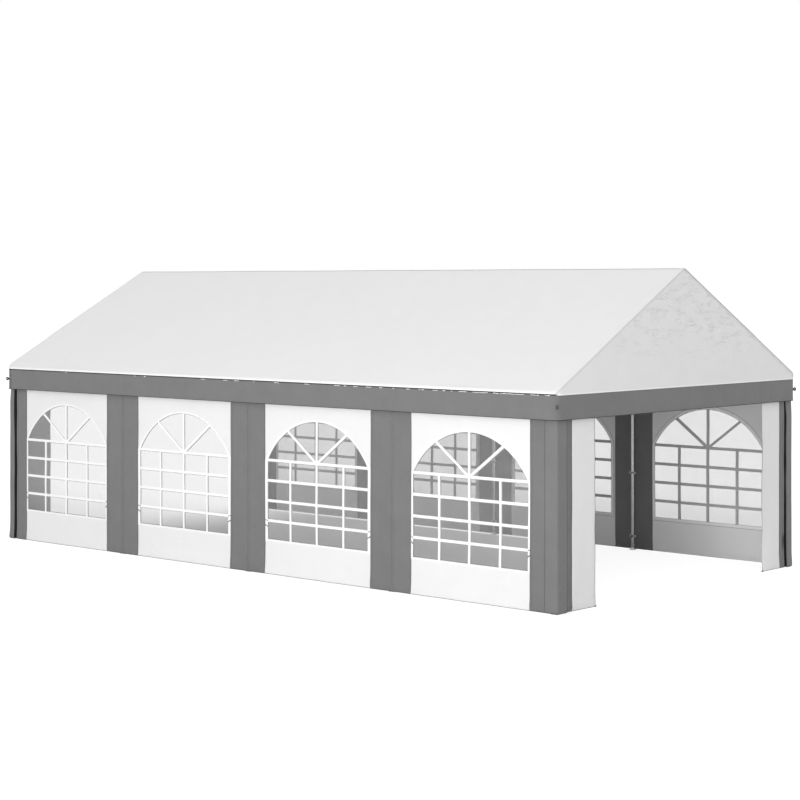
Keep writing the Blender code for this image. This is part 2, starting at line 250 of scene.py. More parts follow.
class TentColours(bpy.types.PropertyGroup):
    """Colours of the finishes."""

    white: colour_prop("White cloth", "White tarpaulin of the roof, gables and walls", "E4E4E4")
    grey: colour_prop("Grey cloth", "Grey tarpaulin of the valance and bands", "6F6F6F")
    strip: colour_prop("Window strips", "White strips and tapes of the windows", "E8E8E8")
    # The inner strips are the white strip vinyl painted grey, as shade
    inner_strip_painted_shade: colour_prop("Inner strips", "Strips on the inner face of the windows", "B4B4B4")
    film: colour_prop("Window film", "Tint of the clear window film", "F0F0F0")
    piping: colour_prop("Piping", "Pale grey cord and tape in the roof's edges", "C4C4C4")
    steel: colour_prop("Steel", "Galvanised steel of the frame", "EAEAE7")
    plastic: colour_prop("Tie balls", "Moulded balls of the elastic ties", "C4C4C0")
    # The dark tape colour also paints thin shadow lines along hems and edges
    tape: colour_prop("Tape", "Dark grey woven tape of the sewn edges", "2A2A2A")
    webbing: colour_prop("Webbing", "Black webbing and cord", "161616")
    rubber: colour_prop("Rubber", "Rings at the corners of the valance", "404040")
    floor: colour_prop("Floor", "Floor of the studio", "FFFFFF")


class TentStudio(bpy.types.PropertyGroup):
    """Light round the tent."""

    sky: FloatProperty(name="Sky", description="Strength of the even light", default=1.0, min=0.0)
    glow: FloatProperty(
        name="Floor glow", description="Even light of the floor", default=0.86, min=0.0)
    front: FloatProperty(
        name="Front light", description="Power of the wide low light at the front", default=336.0,
        min=0.0, unit="POWER")
    corner: FloatProperty(
        name="Corner light", description="Power of the low light by the near corner", default=320.0,
        min=0.0, unit="POWER")
    inside: FloatProperty(
        name="Inside light", description="Power of the floor's light inside the doorway", default=3.1,
        min=0.0, unit="POWER")


def sizes():
    """The sizes that the scene holds."""
    return bpy.context.scene.tent_sizes


def colours():
    """The colours that the scene holds."""
    return bpy.context.scene.tent_colours


# Finishes


def add_node(tree, kind, inputs=None, **settings):
    """Adds a shader node with its settings; an input takes a value or another node's output.

    An input that is given None stays free.
    """
    node = tree.nodes.new("ShaderNode" + kind)
    for name, value in settings.items():
        setattr(node, name, value)
    for name, value in (inputs or {}).items():
        if isinstance(value, bpy.types.NodeSocket):
            tree.links.new(value, node.inputs[name])
        elif value is not None:
            node.inputs[name].default_value = value
    return node


def dye(name, tone=1.0):
    """One of the tent's colours with its alpha; a tone makes it lighter or darker."""
    return (*(tone * channel for channel in getattr(colours(), name)), 1.0)


def weave_of_tapes(tree, place):
    """The grid of flat tapes that the cloth is woven from."""
    # Tapes are 2.5 mm wide in the real cloth, drawn 8 mm wide so that a render can hold them
    warp, weft = (
        add_node(tree, "TexWave", {"Vector": place, "Scale": WAVE_LENGTH / 0.016}, bands_direction=way)
        for way in ("X", "Y"))
    return add_node(
        tree, "Math", {0: warp.outputs["Fac"], 1: weft.outputs["Fac"]}, operation="MULTIPLY")


def packing_creases(tree, place):
    """Creases from the bag, about 0.4 m apart, that fade in and out."""
    bent = add_node(tree, "TexNoise", {"Vector": place, "Scale": 1.6, "Detail": 3.0})
    lean = add_node(
        tree, "VectorMath", {0: bent.outputs["Color"], 1: (0.35, 0.35, 0.35)}, operation="MULTIPLY")
    moved = add_node(tree, "VectorMath", {0: place, 1: lean.outputs["Vector"]}, operation="ADD")
    crumple = add_node(
        tree, "TexVoronoi", {"Vector": moved.outputs["Vector"], "Scale": 2.6}, feature="DISTANCE_TO_EDGE")
    crease = add_node(
        tree, "MapRange",
        {"Value": crumple.outputs["Distance"], "From Max": 0.05, "To Min": 1.0, "To Max": 0.0},
        interpolation_type="SMOOTHSTEP")
    patches = add_node(
        tree, "MapRange", {"Value": bent.outputs["Fac"], "From Min": 0.45, "From Max": 0.62})
    return add_node(
        tree, "Math", {0: crease.outputs["Result"], 1: patches.outputs["Result"]}, operation="MULTIPLY")


def slack_crinkles(tree, place, lowest):
    """Short crinkles, 10 to 40 mm long, in patches above a height, where the cloth is slack."""
    flat = add_node(tree, "VectorMath", {0: place, 1: (0.34, 1.0, 1.0)}, operation="MULTIPLY")
    shreds = add_node(
        tree, "TexNoise",
        {"Vector": flat.outputs["Vector"], "Scale": 32.0, "Detail": 2.0, "Roughness": 0.5,
         "Distortion": 0.3})
    middle = add_node(tree, "Math", {0: shreds.outputs["Fac"], 1: 0.5}, operation="SUBTRACT")
    apart = add_node(tree, "Math", {0: middle.outputs["Value"]}, operation="ABSOLUTE")
    ridges = add_node(
        tree, "MapRange",
        {"Value": apart.outputs["Value"], "From Max": 0.042, "To Min": 1.0, "To Max": 0.0},
        interpolation_type="SMOOTHSTEP")
    broken = add_node(
        tree, "TexNoise", {"Vector": flat.outputs["Vector"], "Scale": 15.0, "Detail": 2.0})
    where = add_node(
        tree, "MapRange", {"Value": broken.outputs["Fac"], "From Min": 0.46, "From Max": 0.58})
    height = add_node(tree, "SeparateXYZ", {"Vector": place}).outputs["Y"]
    upper = add_node(
        tree, "MapRange", {"Value": height, "From Min": lowest, "From Max": lowest + 0.45})
    partly = add_node(
        tree, "Math", {0: ridges.outputs["Result"], 1: where.outputs["Result"]}, operation="MULTIPLY")
    return add_node(
        tree, "Math", {0: partly.outputs["Value"], 1: upper.outputs["Result"]}, operation="MULTIPLY")


def tarpaulin(
        tree, place, colour, see_through, mottle, crinkle, crease=0.45, crinkled_from=-1.0, tone=1.0):
    """Laminated tarpaulin: a weave of flat tapes under a soft film, creased from its bag.

    The film gives a broad satin gloss, the tapes a faint grid, and the packing its creases.
    Some daylight comes through, so the shaded side isn't black. UVs are metres on the cloth.
    """
    relief = None
    for height, depth, strength in (
            (weave_of_tapes(tree, place), 0.0003, 0.5),
            (packing_creases(tree, place), 0.003, crease),
            (slack_crinkles(tree, place, crinkled_from), 0.006, crinkle)):
        relief = add_node(
            tree, "Bump",
            {"Height": height.outputs["Value"], "Distance": depth, "Strength": strength,
             "Normal": relief}).outputs["Normal"]
    # Faint clouds of tone, as wide as a hand, from handling
    clouds = add_node(
        tree, "TexNoise", {"Vector": place, "Scale": 4.0, "Detail": 5.0, "Roughness": 0.6})
    shade = add_node(
        tree, "MapRange",
        {"Value": clouds.outputs["Fac"], "From Min": 0.3, "From Max": 0.7, "To Min": 1.0 - mottle,
         "To Max": 1.0})
    tint = add_node(tree, "Mix", {0: 1.0, 6: dye(colour, tone), 7: shade.outputs["Result"]}, **MULTIPLIED)
    coloured = tint.outputs[2]
    cloth = add_node(
        tree, "BsdfPrincipled",
        {"Base Color": coloured, "Roughness": 0.5, "IOR": 1.5, "Normal": relief})
    daylight = add_node(tree, "BsdfTranslucent", {"Color": coloured, "Normal": relief})
    return add_node(
        tree, "MixShader", {"Fac": see_through, 1: cloth.outputs["BSDF"], 2: daylight.outputs["BSDF"]})


def ribbed(tree, place, colour, way, pitch, depth, strength, surface):
    """A plain finish with fine ribs or stitches across it, a pitch apart in metres."""
    ribs = add_node(
        tree, "TexWave", {"Vector": place, "Scale": WAVE_LENGTH / pitch}, bands_direction=way)
    relief = add_node(
        tree, "Bump", {"Height": ribs.outputs["Fac"], "Distance": depth, "Strength": strength})
    return add_node(
        tree, "BsdfPrincipled",
        {"Base Color": dye(colour), **surface, "Normal": relief.outputs["Normal"]})


def speckled(tree, place, colour, scale, depth, strength, surface, painted_back_shade=None):
    """A plain finish with soft small bumps; painted_back_shade gives the tone of the front half and of the
    back half, the back painted darker as shade.
    """
    marks = add_node(tree, "TexNoise", {"Vector": place, "Scale": scale, "Detail": 2.0})
    relief = add_node(
        tree, "Bump", {"Height": marks.outputs["Fac"], "Distance": depth, "Strength": strength})
    tint = dye(colour)
    # A darker tone on the back half is painted shade, as if the back lay out of the light
    if painted_back_shade is not None:
        across = add_node(tree, "SeparateXYZ", {"Vector": place}).outputs["Y"]
        tone = add_node(
            tree, "MapRange",
            {"Value": across, "From Min": -0.02, "From Max": 0.02, "To Min": painted_back_shade[0], "To Max": painted_back_shade[1]})
        tint = add_node(tree, "Mix", {0: 1.0, 6: tint, 7: tone.outputs["Result"]}, **MULTIPLIED).outputs[2]
    return add_node(
        tree, "BsdfPrincipled", {"Base Color": tint, **surface, "Normal": relief.outputs["Normal"]})


def moulded_rubber(tree, place):
    """Dark grey moulded rubber with a soft sheen and a chalky bloom."""
    # The bloom lies in patches about 8 mm wide
    bloom = add_node(tree, "TexNoise", {"Vector": place, "Scale": 120.0, "Detail": 2.0})
    tone = add_node(tree, "MapRange", {"Value": bloom.outputs["Fac"], "To Min": 0.85, "To Max": 1.0})
    tint = add_node(tree, "Mix", {0: 1.0, 6: dye("rubber"), 7: tone.outputs["Result"]}, **MULTIPLIED)
    return add_node(tree, "BsdfPrincipled", {"Base Color": tint.outputs[2], "Roughness": 0.55})


def galvanised_steel(tree, place):
    """Hot-dip galvanised steel: pale metal with a long bright gleam and soft zinc spangle."""
    # Zinc spangles are about 12 mm across
    spangle = add_node(tree, "TexVoronoi", {"Vector": place, "Scale": 80.0})
    tone, dull = (
        add_node(tree, "MapRange", {"Value": spangle.outputs["Color"], "To Min": low, "To Max": high})
        for low, high in ((0.82, 1.0), (0.10, 0.20)))
    tint = add_node(tree, "Mix", {0: 1.0, 6: dye("steel"), 7: tone.outputs["Result"]}, **MULTIPLIED)
    return add_node(
        tree, "BsdfPrincipled",
        {"Base Color": tint.outputs[2], "Metallic": 0.85, "Roughness": dull.outputs["Result"]})


def window_film(tree, place):
    """Clear soft vinyl film: see-through with a little haze, and glossy at a flat angle."""
    # The film was rolled up, so its surface swells and its haze lies in soft wide streaks
    streaks = add_node(tree, "TexNoise", {"Vector": place, "Scale": 5.0, "Detail": 1.0, "Distortion": 0.4})
    waves = add_node(
        tree, "Bump",
        {"Height": streaks.outputs["Fac"], "Distance": 0.002, "Strength": 0.5}).outputs["Normal"]
    haze = add_node(
        tree, "MapRange",
        {"Value": streaks.outputs["Fac"], "From Min": 0.3, "From Max": 0.7, "To Min": 0.065,
         "To Max": 0.085})
    # Painted shade: the lowest part lets a little less light through, so the floor seen through it looks
    # shaded
    height = add_node(tree, "SeparateXYZ", {"Vector": place}).outputs["Y"]
    painted_floor_shade = add_node(
        tree, "MapRange",
        {"Value": height, "From Min": WINDOW_SILL, "From Max": 0.70, "To Min": 0.93, "To Max": 1.0},
        interpolation_type="SMOOTHSTEP")
    tint = add_node(tree, "Mix", {0: 1.0, 6: dye("film"), 7: painted_floor_shade.outputs["Result"]}, **MULTIPLIED)
    clear = add_node(tree, "BsdfTransparent", {"Color": tint.outputs[2]})
    milk = add_node(tree, "BsdfPrincipled", {"Base Color": dye("strip"), "Roughness": 0.3, "Normal": waves})
    body = add_node(
        tree, "MixShader",
        {"Fac": haze.outputs["Result"], 1: clear.outputs["BSDF"], 2: milk.outputs["BSDF"]})
    angle = add_node(tree, "LayerWeight", {"Blend": 0.5})
    sharp = add_node(tree, "Math", {0: angle.outputs["Facing"], 1: 4.0}, operation="POWER")
    share = add_node(tree, "Math", {0: sharp.outputs["Value"], 1: 0.45, 2: 0.045}, operation="MULTIPLY_ADD")
    gloss = add_node(
        tree, "BsdfGlossy", {"Color": (1.0, 1.0, 1.0, 1.0), "Roughness": 0.12, "Normal": waves})
    return add_node(
        tree, "MixShader",
        {"Fac": share.outputs["Value"], 1: body.outputs["Shader"], 2: gloss.outputs["BSDF"]})


def studio_card(tree, place, tone, glows):
    """Matt white card: takes soft shade, and gives an even light of its own if it glows.

    The glow fades out under the roof, so the floor lies in the tent's shade there. Daylight
    comes in by both doorways, and the walls keep it out at the sides.
    """
    glow = bpy.context.scene.tent_studio.glow if glows else 0.0
    apart = add_node(tree, "VectorMath", {0: place}, operation="ABSOLUTE").outputs["Vector"]
    across = add_node(tree, "SeparateXYZ", {"Vector": apart}).outputs["Y"]
    along = add_node(tree, "SeparateXYZ", {"Vector": place}).outputs["X"]
    slant = add_node(tree, "VectorMath", {0: place, 1: SHADE_SLANT}, operation="DOT_PRODUCT")
    shade = None
    for value, (light, dark) in zip((slant.outputs["Value"], along, across), SHADE_EDGES):
        step = add_node(
            tree, "MapRange", {"Value": value, "From Min": light, "From Max": dark},
            interpolation_type="SMOOTHSTEP").outputs["Result"]
        if shade is not None:
            step = add_node(tree, "Math", {0: shade, 1: step}, operation="MULTIPLY").outputs["Value"]
        shade = step
    lit = add_node(tree, "Math", {0: shade, 1: -SHADE_DEPTH * glow, 2: glow}, operation="MULTIPLY_ADD")
    return add_node(
        tree, "BsdfPrincipled",
        {"Base Color": (tone, tone, tone, 1.0), "Roughness": 0.9, "Specular IOR Level": 0.0,
         "Emission Color": dye("floor"), "Emission Strength": lit.outputs["Value"]})


# Each finish: the function that lays out its nodes, whether its pattern lies on the flat cloth
# or on the tent, and what that function is told
FINISHES = {
    # Laminated tarpaulin, a woven cloth between two films. Roof: stretched tight, faint creases
    "white_laminated_tarpaulin_roof": (
        tarpaulin, "cloth",
        {"colour": "white", "see_through": 0.10, "mottle": 0.02, "crinkle": 0.08, "crease": 0.25}),
    # Gables: slack in their upper part, so full of short crinkles there
    "white_laminated_tarpaulin_gable": (
        tarpaulin, "cloth",
        {"colour": "white", "see_through": 0.10, "mottle": 0.03, "crinkle": 0.62, "crease": 0.3,
         "crinkled_from": 2.1}),
    # Walls and curtains: soft creases where they were folded
    "white_laminated_tarpaulin_wall": (
        tarpaulin, "cloth", {"colour": "white", "see_through": 0.10, "mottle": 0.02, "crinkle": 0.15}),
    # Valance and bands: a darker dye, so it lets little light through
    "grey_laminated_tarpaulin": (
        tarpaulin, "cloth", {"colour": "grey", "see_through": 0.02, "mottle": 0.10, "crinkle": 0.3}),
    # Patches on the corners: dyed a shade lighter, a painted highlight where the cloth turns the corner leg
    "grey_laminated_tarpaulin_patch": (
        tarpaulin, "cloth",
        {"colour": "grey", "see_through": 0.02, "mottle": 0.10, "crinkle": 0.3, "tone": 1.03}),
    # Soft vinyl strip, smoother and glossier than the cloth; welding leaves a fine rib every 4 mm
    "white_welded_vinyl": (
        ribbed, "cloth",
        {"colour": "strip", "way": "DIAGONAL", "pitch": 0.004, "depth": 0.0002, "strength": 0.3,
         "surface": SOFT_VINYL}),
    # The inner strips, the same vinyl, are painted grey as the shade they lie in behind the film
    "pale_grey_welded_vinyl": (
        ribbed, "cloth",
        {"colour": "inner_strip_painted_shade", "way": "DIAGONAL", "pitch": 0.004, "depth": 0.0002, "strength": 0.3,
         "surface": SOFT_VINYL}),
    # Woven tape of a sewn edge: a thin dull dark line, with one stitch every 5 mm; the same dark line is
    # also painted shadow along hems and edges
    "dark_grey_woven_tape": (
        ribbed, "cloth",
        {"colour": "tape", "way": "X", "pitch": 0.005, "depth": 0.0006, "strength": 0.8,
         "surface": {"Roughness": 0.8}}),
    # Woven webbing and cord cover: black and dull; its ribs are 1.5 mm apart, drawn at 3 mm. The same black
    # is painted shade in gaps and peg holes
    "woven_black_webbing": (
        ribbed, "tent",
        {"colour": "webbing", "way": "Z", "pitch": 0.003, "depth": 0.0004, "strength": 0.6,
         "surface": {"Roughness": 0.9, "Specular IOR Level": 0.2}}),
    # Vinyl over a cord: the soft shine of a rolled edge, puckered every 15 mm; its back half is painted
    # darker as shade
    "pale_grey_vinyl_piping": (
        speckled, "tent",
        {"colour": "piping", "scale": 65.0, "depth": 0.001, "strength": 0.5,
         "surface": {"Roughness": 0.45, "IOR": 1.53}, "painted_back_shade": (1.0, 0.48)}),
    # Nylon ball: the soft gloss of a polished mould, with flow marks about 6 mm apart
    "moulded_nylon": (
        speckled, "tent",
        {"colour": "plastic", "scale": 160.0, "depth": 0.0003, "strength": 0.25,
         "surface": SOFT_VINYL}),
    "dark_grey_moulded_rubber": (moulded_rubber, "tent", {}),
    "galvanised_steel_tube": (galvanised_steel, "tent", {}),
    "clear_vinyl_film": (window_film, "cloth", {}),
    "white_lit_card": (studio_card, "tent", {"tone": 0.34, "glows": True}),
    "white_matt_card": (studio_card, "tent", {"tone": 0.78, "glows": False}),
}


def material_of(name):
    """The material of this name; its nodes are laid out the first time that it is asked for."""
    material = bpy.data.materials.get(name)
    if material is None:
        material = bpy.data.materials.new(name)
        material.use_nodes = True
        tree = material.node_tree
        tree.nodes.clear()
        lay_out, ground, settings = FINISHES[name]
        if ground == "cloth":
            place = add_node(tree, "UVMap", uv_map="cloth").outputs["UV"]
        else:
            place = add_node(tree, "TexCoord").outputs["Object"]
        shader = lay_out(tree, place, **settings)
        add_node(tree, "OutputMaterial", {"Surface": shader.outputs[0]})
    return material


# Shapes


def spread(stops, pitch):
    """Places from the first stop to the last, with each run between two stops divided evenly."""
    places = [stops[0]]
    for low, high in zip(stops, stops[1:]):
        count = max(1, round((high - low) / pitch))
        places += [low + (high - low) * (step + 1) / count for step in range(count)]
    return places


def upright_grid(columns, rows):
    """A flat sheet in the XZ plane that faces -Y, with a vertex at each column and row."""
    sheet = bmesh.new()
    bmesh.ops.create_grid(
        sheet, x_segments=len(columns) - 1, y_segments=len(rows) - 1, size=0.5,
        matrix=Matrix.Rotation(math.radians(90), 4, "X"))
    for vert in sheet.verts:
        column = round((vert.co.x + 0.5) * (len(columns) - 1))
        row = round((vert.co.z + 0.5) * (len(rows) - 1))
        vert.co = (columns[column], 0, rows[row])
    return sheet


def spun(body, geom, centre, axis, steps):
    """Spins a profile once round an axis and closes the body."""
    bmesh.ops.spin(
        body, geom=geom, cent=centre, axis=axis, angle=2 * math.pi, steps=steps, use_merge=True)
    bmesh.ops.remove_doubles(body, verts=body.verts, dist=0.00001)
    bmesh.ops.recalc_face_normals(body, faces=body.faces)
    return body


def join(whole, part):
    """Adds one mesh to a growing one as it is."""
    carrier = bpy.data.meshes.new("part")
    part.to_mesh(carrier)
    part.free()
    whole.from_mesh(carrier)
    bpy.data.meshes.remove(carrier)


def add_part(whole, part, finish=0):
    """Adds one mesh to a growing one, all of it in one material slot."""
    for face in part.faces:
        face.material_index = finish
    join(whole, part)


def add_layer(whole, flat, thickness, out=0.0, finish=WHITE):
    """Gives a flat sheet its thickness on the inner side, sets it out and adds it."""
    bmesh.ops.solidify(flat, geom=flat.faces[:], thickness=thickness)
    bmesh.ops.translate(flat, verts=flat.verts, vec=(0, -out, 0))
    add_part(whole, flat, finish)


def lay(whole, columns, rows, thickness, out=0.0, finish=WHITE):
    """Adds a flat layer of cloth with a vertex at each of these columns and rows."""
    add_layer(whole, upright_grid(columns, rows), thickness, out, finish)


def lay_uv(whole):
    """Writes a UV map in metres from a sheet that still lies flat."""
    layer = whole.loops.layers.uv.new("cloth")
    for face in whole.faces:
        for loop in face.loops:
            loop[layer].uv = (loop.vert.co.x, loop.vert.co.z)


def finish_piece(name, whole, finishes, nodes=()):
    """Makes the finished object, on the tent's one body and in the place of its nodes."""
    mesh = bpy.data.meshes.new(name)
    whole.to_mesh(mesh)
    whole.free()
    for finish in finishes:
        mesh.materials.append(material_of(finish))
    mesh.shade_smooth()
    mesh.set_sharp_from_angle(angle=math.radians(38))
    piece = bpy.data.objects.new(name, mesh)
    bpy.context.scene.collection.objects.link(piece)
    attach(piece, "root")
    if nodes:
        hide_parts(*nodes)
    return piece


def ripple(along, height, seed, long, tall, swing):
    """Smooth hills and hollows: long and tall are a hill's size, and swing its height."""
    return swing * noise.noise(Vector((along / long, height / tall, seed)))


def ease(value, low, high):
    """Rises smoothly from 0 at low to 1 at high."""
    share = min(max((value - low) / (high - low), 0.0), 1.0)
    return share * share * (3 - 2 * share)


def turn_to_side(side, x, y, z):
    """Carries a point of a front sheet to another side."""
    cosine, sine = SIDE_TURNS[side]
    return Vector((x * cosine - y * sine, x * sine + y * cosine, z))


def side_point(side, along, out, height, reach=0.0, radius=WALL_FOLD):
    """A point on the tent's rounded plan, measured along one side and on round its corners."""
    half, distance = HALF_LENGTH, HALF_WIDTH
    if side in ("left", "right"):
        half, distance = distance, half
    straight = half + reach - radius
    over = max(abs(along) - straight, 0.0)
    turn = min(over / radius, math.pi / 2)
    tail = over - turn * radius
    way = math.copysign(1.0, along)
    x = way * (min(abs(along), straight) + (radius + out) * math.sin(turn))
    y = radius - (radius + out) * math.cos(turn) + tail
    return turn_to_side(side, x, y - distance - reach, height)


def lean_in(point):
    """Draws the ends of the roof in a little towards the ridge, as the tight cover does."""
    share = ease(point.z, EAVE_HEIGHT + 0.05, RIDGE_HEIGHT)
    share *= ease(abs(point.x), LEG_X, COVER_X - 0.005)
    return Vector((point.x - math.copysign(sizes().lean * share, point.x), point.y, point.z))


def round_corner(point):
    """Draws the square corners of the cover's plan in to a rounded fold."""
    core_x, core_y = COVER_X - COVER_FOLD, COVER_Y - COVER_FOLD
    u, v = (abs(point.x) - core_x) / COVER_FOLD, (abs(point.y) - core_y) / COVER_FOLD
    if u <= 0 or v <= 0:
        return point
    x = core_x + COVER_FOLD * u * math.sqrt(max(1 - v * v / 2, 0.0))
    y = core_y + COVER_FOLD * v * math.sqrt(max(1 - u * u / 2, 0.0))
    return Vector((math.copysign(x, point.x), math.copysign(y, point.y), point.z))


def corner_stops(low, high, half):
    """Stops along a side between two places, with a fine run round each corner it passes."""
    arc = [half - WALL_FOLD + WALL_FOLD * math.pi / 2 * step / 4 for step in range(5)]
    inside = [place for place in (*[-value for value in reversed(arc)], *arc) if low < place < high]
    return [low, *inside, high]


def leg_hold(along):
    """How free the cloth is at a place along a side: 0 beside a leg, 1 well away from it."""
    return ease(min(abs(abs(along) - place) for place in (0.0, 2.0, LEG_X)), 0.02, 0.35)


def wall_out(along, height, seed):
    """How far a wall stands out at a point: broad billows, long upright folds, a rolled hem."""
    swing = sizes().ripple
    free = 0.35 + 0.65 * (1 - ease(height, 0.0, WALL_TOP))
    billow = ripple(along, height, seed, 0.55, 1.3, 1.5 * swing) * leg_hold(along) * free
    folds = ripple(along, height, seed + 7.3, 0.13, 1.9, 0.5 * swing)
    crease_line = abs(ripple(along, height, seed + 5.7, 0.22, 3.0, 1.0))
    creases = -0.5 * swing * (1 - ease(crease_line, 0.0, 0.12))
    hem = ripple(along, 0.0, seed + 3.1, 0.21, 1.0, 1.1 * swing) * (1 - ease(height, 0.0, 0.30))
    facets = 0.0045 * max(0.0, 1 - abs(abs(along) - 3.925) / 0.055)
    depth = max(billow + folds + creases + hem + facets, -0.0022 - 0.006 * leg_hold(along))
    roll = 0.006 * ease(height, HEM_HEIGHT, HEM_HEIGHT + 0.010) * (1 - ease(height, 0.02, 0.16))
    return (depth + roll) * ease(WALL_TOP - height, -0.001, 0.12)


def corner_belly(point):
    """Cloth that turns a corner leg bulges out past the end of the tent, more at the left end."""
    swell = (0.012 if point.x > 0 else 0.025) * ease(abs(point.x), LEG_X - 0.04, HALF_LENGTH - 0.008)
    swell *= ease(abs(point.y), 1.80, 1.96) * ease(WALL_TOP - point.z, 0.10, 0.40)
    return Vector((point.x + math.copysign(swell, point.x), point.y, point.z))


def lifted(side, height):
    """Height of a point of a wall; the back wall's windows hang a little higher."""
    if side != "back":
        return height
    low = ease(height, HEM_HEIGHT + 0.05, WINDOW_SILL - 0.05)
    high = ease(WALL_TOP - height, 0.02, WALL_TOP - WINDOW_TOP - 0.03)
    return height + BACK_LIFT * low * high


def wall_drift(along, height, seed):
    """How far the seams and tapes of a wall wander along it."""
    free = ease(HALF_LENGTH - abs(along), 0.12, 0.35)
    return ripple(along, height, seed + 2.6, 1.4, 0.36, sizes().drift) * free


def wrap_end(half, wrap):
    """Where a cloth ends that turns a corner and runs on round it."""
    return half - WALL_FOLD + WALL_FOLD * math.pi / 2 + wrap - WALL_FOLD


# Windows


def arch_height(x, grow=0.0):
    """Height of a window's flat arch at a distance from its middle."""
    return WINDOW_TOP - ARCH_RADIUS + math.sqrt(max((ARCH_RADIUS + grow) ** 2 - x * x, 0.0))


def window_loop(grow, wide=0.0):
    """Points round a window from its lower left corner, grown outwards, and wider at the sides."""
    half, sill = WINDOW_HALF + grow, WINDOW_SILL - grow
    spring = arch_height(half, grow)
    radius = ARCH_RADIUS + grow
    reach = math.asin(half / radius)
    bottom = [(place, sill) for place in spread([-half, half], 2 * half / 56)][:-1]
    right = [(half, place) for place in spread([sill, spring], (spring - sill) / 32)][:-1]
    arch = [
        (radius * math.sin(turn), WINDOW_TOP + grow - radius + radius * math.cos(turn))
        for turn in (reach - 2 * reach * step / 72 for step in range(72))]
    left = [(-half, place) for place in spread([sill, spring], (spring - sill) / 32)][:0:-1]
    return [
        (x * (1 + wide / half * (1 - ease(z, spring - 0.1, spring + 0.2))), z)
        for x, z in bottom + right + arch + left]


def window_ring(middle, inner, outer, wide=0.0):
    """A flat band that follows a window's outline, between two growths."""
    ring = bmesh.new()
    verts = [ring.verts.new((middle + x, 0, z)) for x, z in window_loop(inner)]
    edges = [ring.edges.new(pair) for pair in zip(verts, verts[1:] + verts[:1])]
    grown = bmesh.ops.extrude_edge_only(ring, edges=edges)
    fresh = {item for item in grown["geom"] if isinstance(item, bmesh.types.BMVert)}
    for vert, (x, z) in zip(verts, window_loop(outer, wide)):
        partner = next(
            edge.other_vert(vert) for edge in vert.link_edges if edge.other_vert(vert) in fresh)
        partner.co = (middle + x, 0, z)
    ring.normal_update()
    wrong = [face for face in ring.faces if face.normal.y > 0]
    bmesh.ops.reverse_faces(ring, faces=wrong)
    return ring


def cut_window(sheet, middle):
    """Cuts the window out of a wall's grid and bends the rows above it to the arch."""
    room = [
        face for face in sheet.faces
        if abs(face.calc_center_median().x - middle) < WINDOW_HALF
        and WINDOW_SILL < face.calc_center_median().z < WINDOW_SPRINGING]
    bmesh.ops.delete(sheet, geom=room, context="FACES")
    above = WALL_TOP - WINDOW_SPRINGING
    for vert in sheet.verts:
        x = vert.co.x - middle
        if abs(x) < WINDOW_HALF and vert.co.z > WINDOW_SPRINGING - 0.001:
            low = arch_height(x)
            vert.co.z = low + (vert.co.z - WINDOW_SPRINGING) / above * (WALL_TOP - low)


def flat_bar(start, end, width, pitch):
    """A straight flat strip between two points of the XZ plane."""
    run = Vector(end) - Vector(start)
    strip = upright_grid(spread([0.0, run.length], pitch), [-width / 2, width / 2])
    turn = Matrix.Rotation(-math.atan2(run.y, run.x), 4, "Y")
    place = Matrix.Translation((start[0], 0, start[1]))
    bmesh.ops.transform(strip, matrix=place @ turn, verts=strip.verts)
    return strip


def window_places(side):
    """Number and middle of each window along its side, seen from outside."""
    way = 1 if side == "front" else -1
    return [(bay + 1, way * (bay - 1.5) * WINDOW_PITCH) for bay in range(4)]


def film_out(x, height, seed):
    """Slack of the film between its welded edges, on top of the wall's own ripples."""
    side_room = WINDOW_HALF - abs(x)
    room = min(side_room, height - WINDOW_SILL, arch_height(x) - height)
    return ripple(x, height, seed, 0.16, 0.24, 0.0022) * ease(room, 0.0, 0.10)


def carry_window(whole, side, number, middle):
    """Carries a window's flat layers to their place in the wall, with its ripples."""
    seed = SIDE_SEEDS[side]
    for vert in whole.verts:
        x, out, z = vert.co.x, -vert.co.y, vert.co.z
        out += wall_out(x, z, seed) + film_out(x - middle, z, seed + number)
        vert.co = side_point(side, x + wall_drift(x, z, seed), out, lifted(side, z))


def build_film(side, number, middle):
    """One pane of clear film, welded to the inner side of its wall."""
    sz = sizes()
    low, reach = WINDOW_SILL - FILM_LAP, WINDOW_HALF + FILM_LAP
    film = upright_grid(
        spread([middle - reach, middle + reach], sz.pitch), spread([low, WINDOW_SPRINGING], sz.pitch))
    for vert in film.verts:
        top = arch_height(min(abs(vert.co.x - middle), WINDOW_HALF), FILM_LAP)
        vert.co.z = low + (vert.co.z - low) / (WINDOW_SPRINGING - low) * (top - low)
    whole = bmesh.new()
    add_layer(whole, film, sz.film, -sz.cloth - 0.0003)
    lay_uv(whole)
    carry_window(whole, side, number, middle)
    pane = finish_piece(
        f"window_film_{side}_{number}", whole, ["clear_vinyl_film"], [f"window_{side}_{number}"])


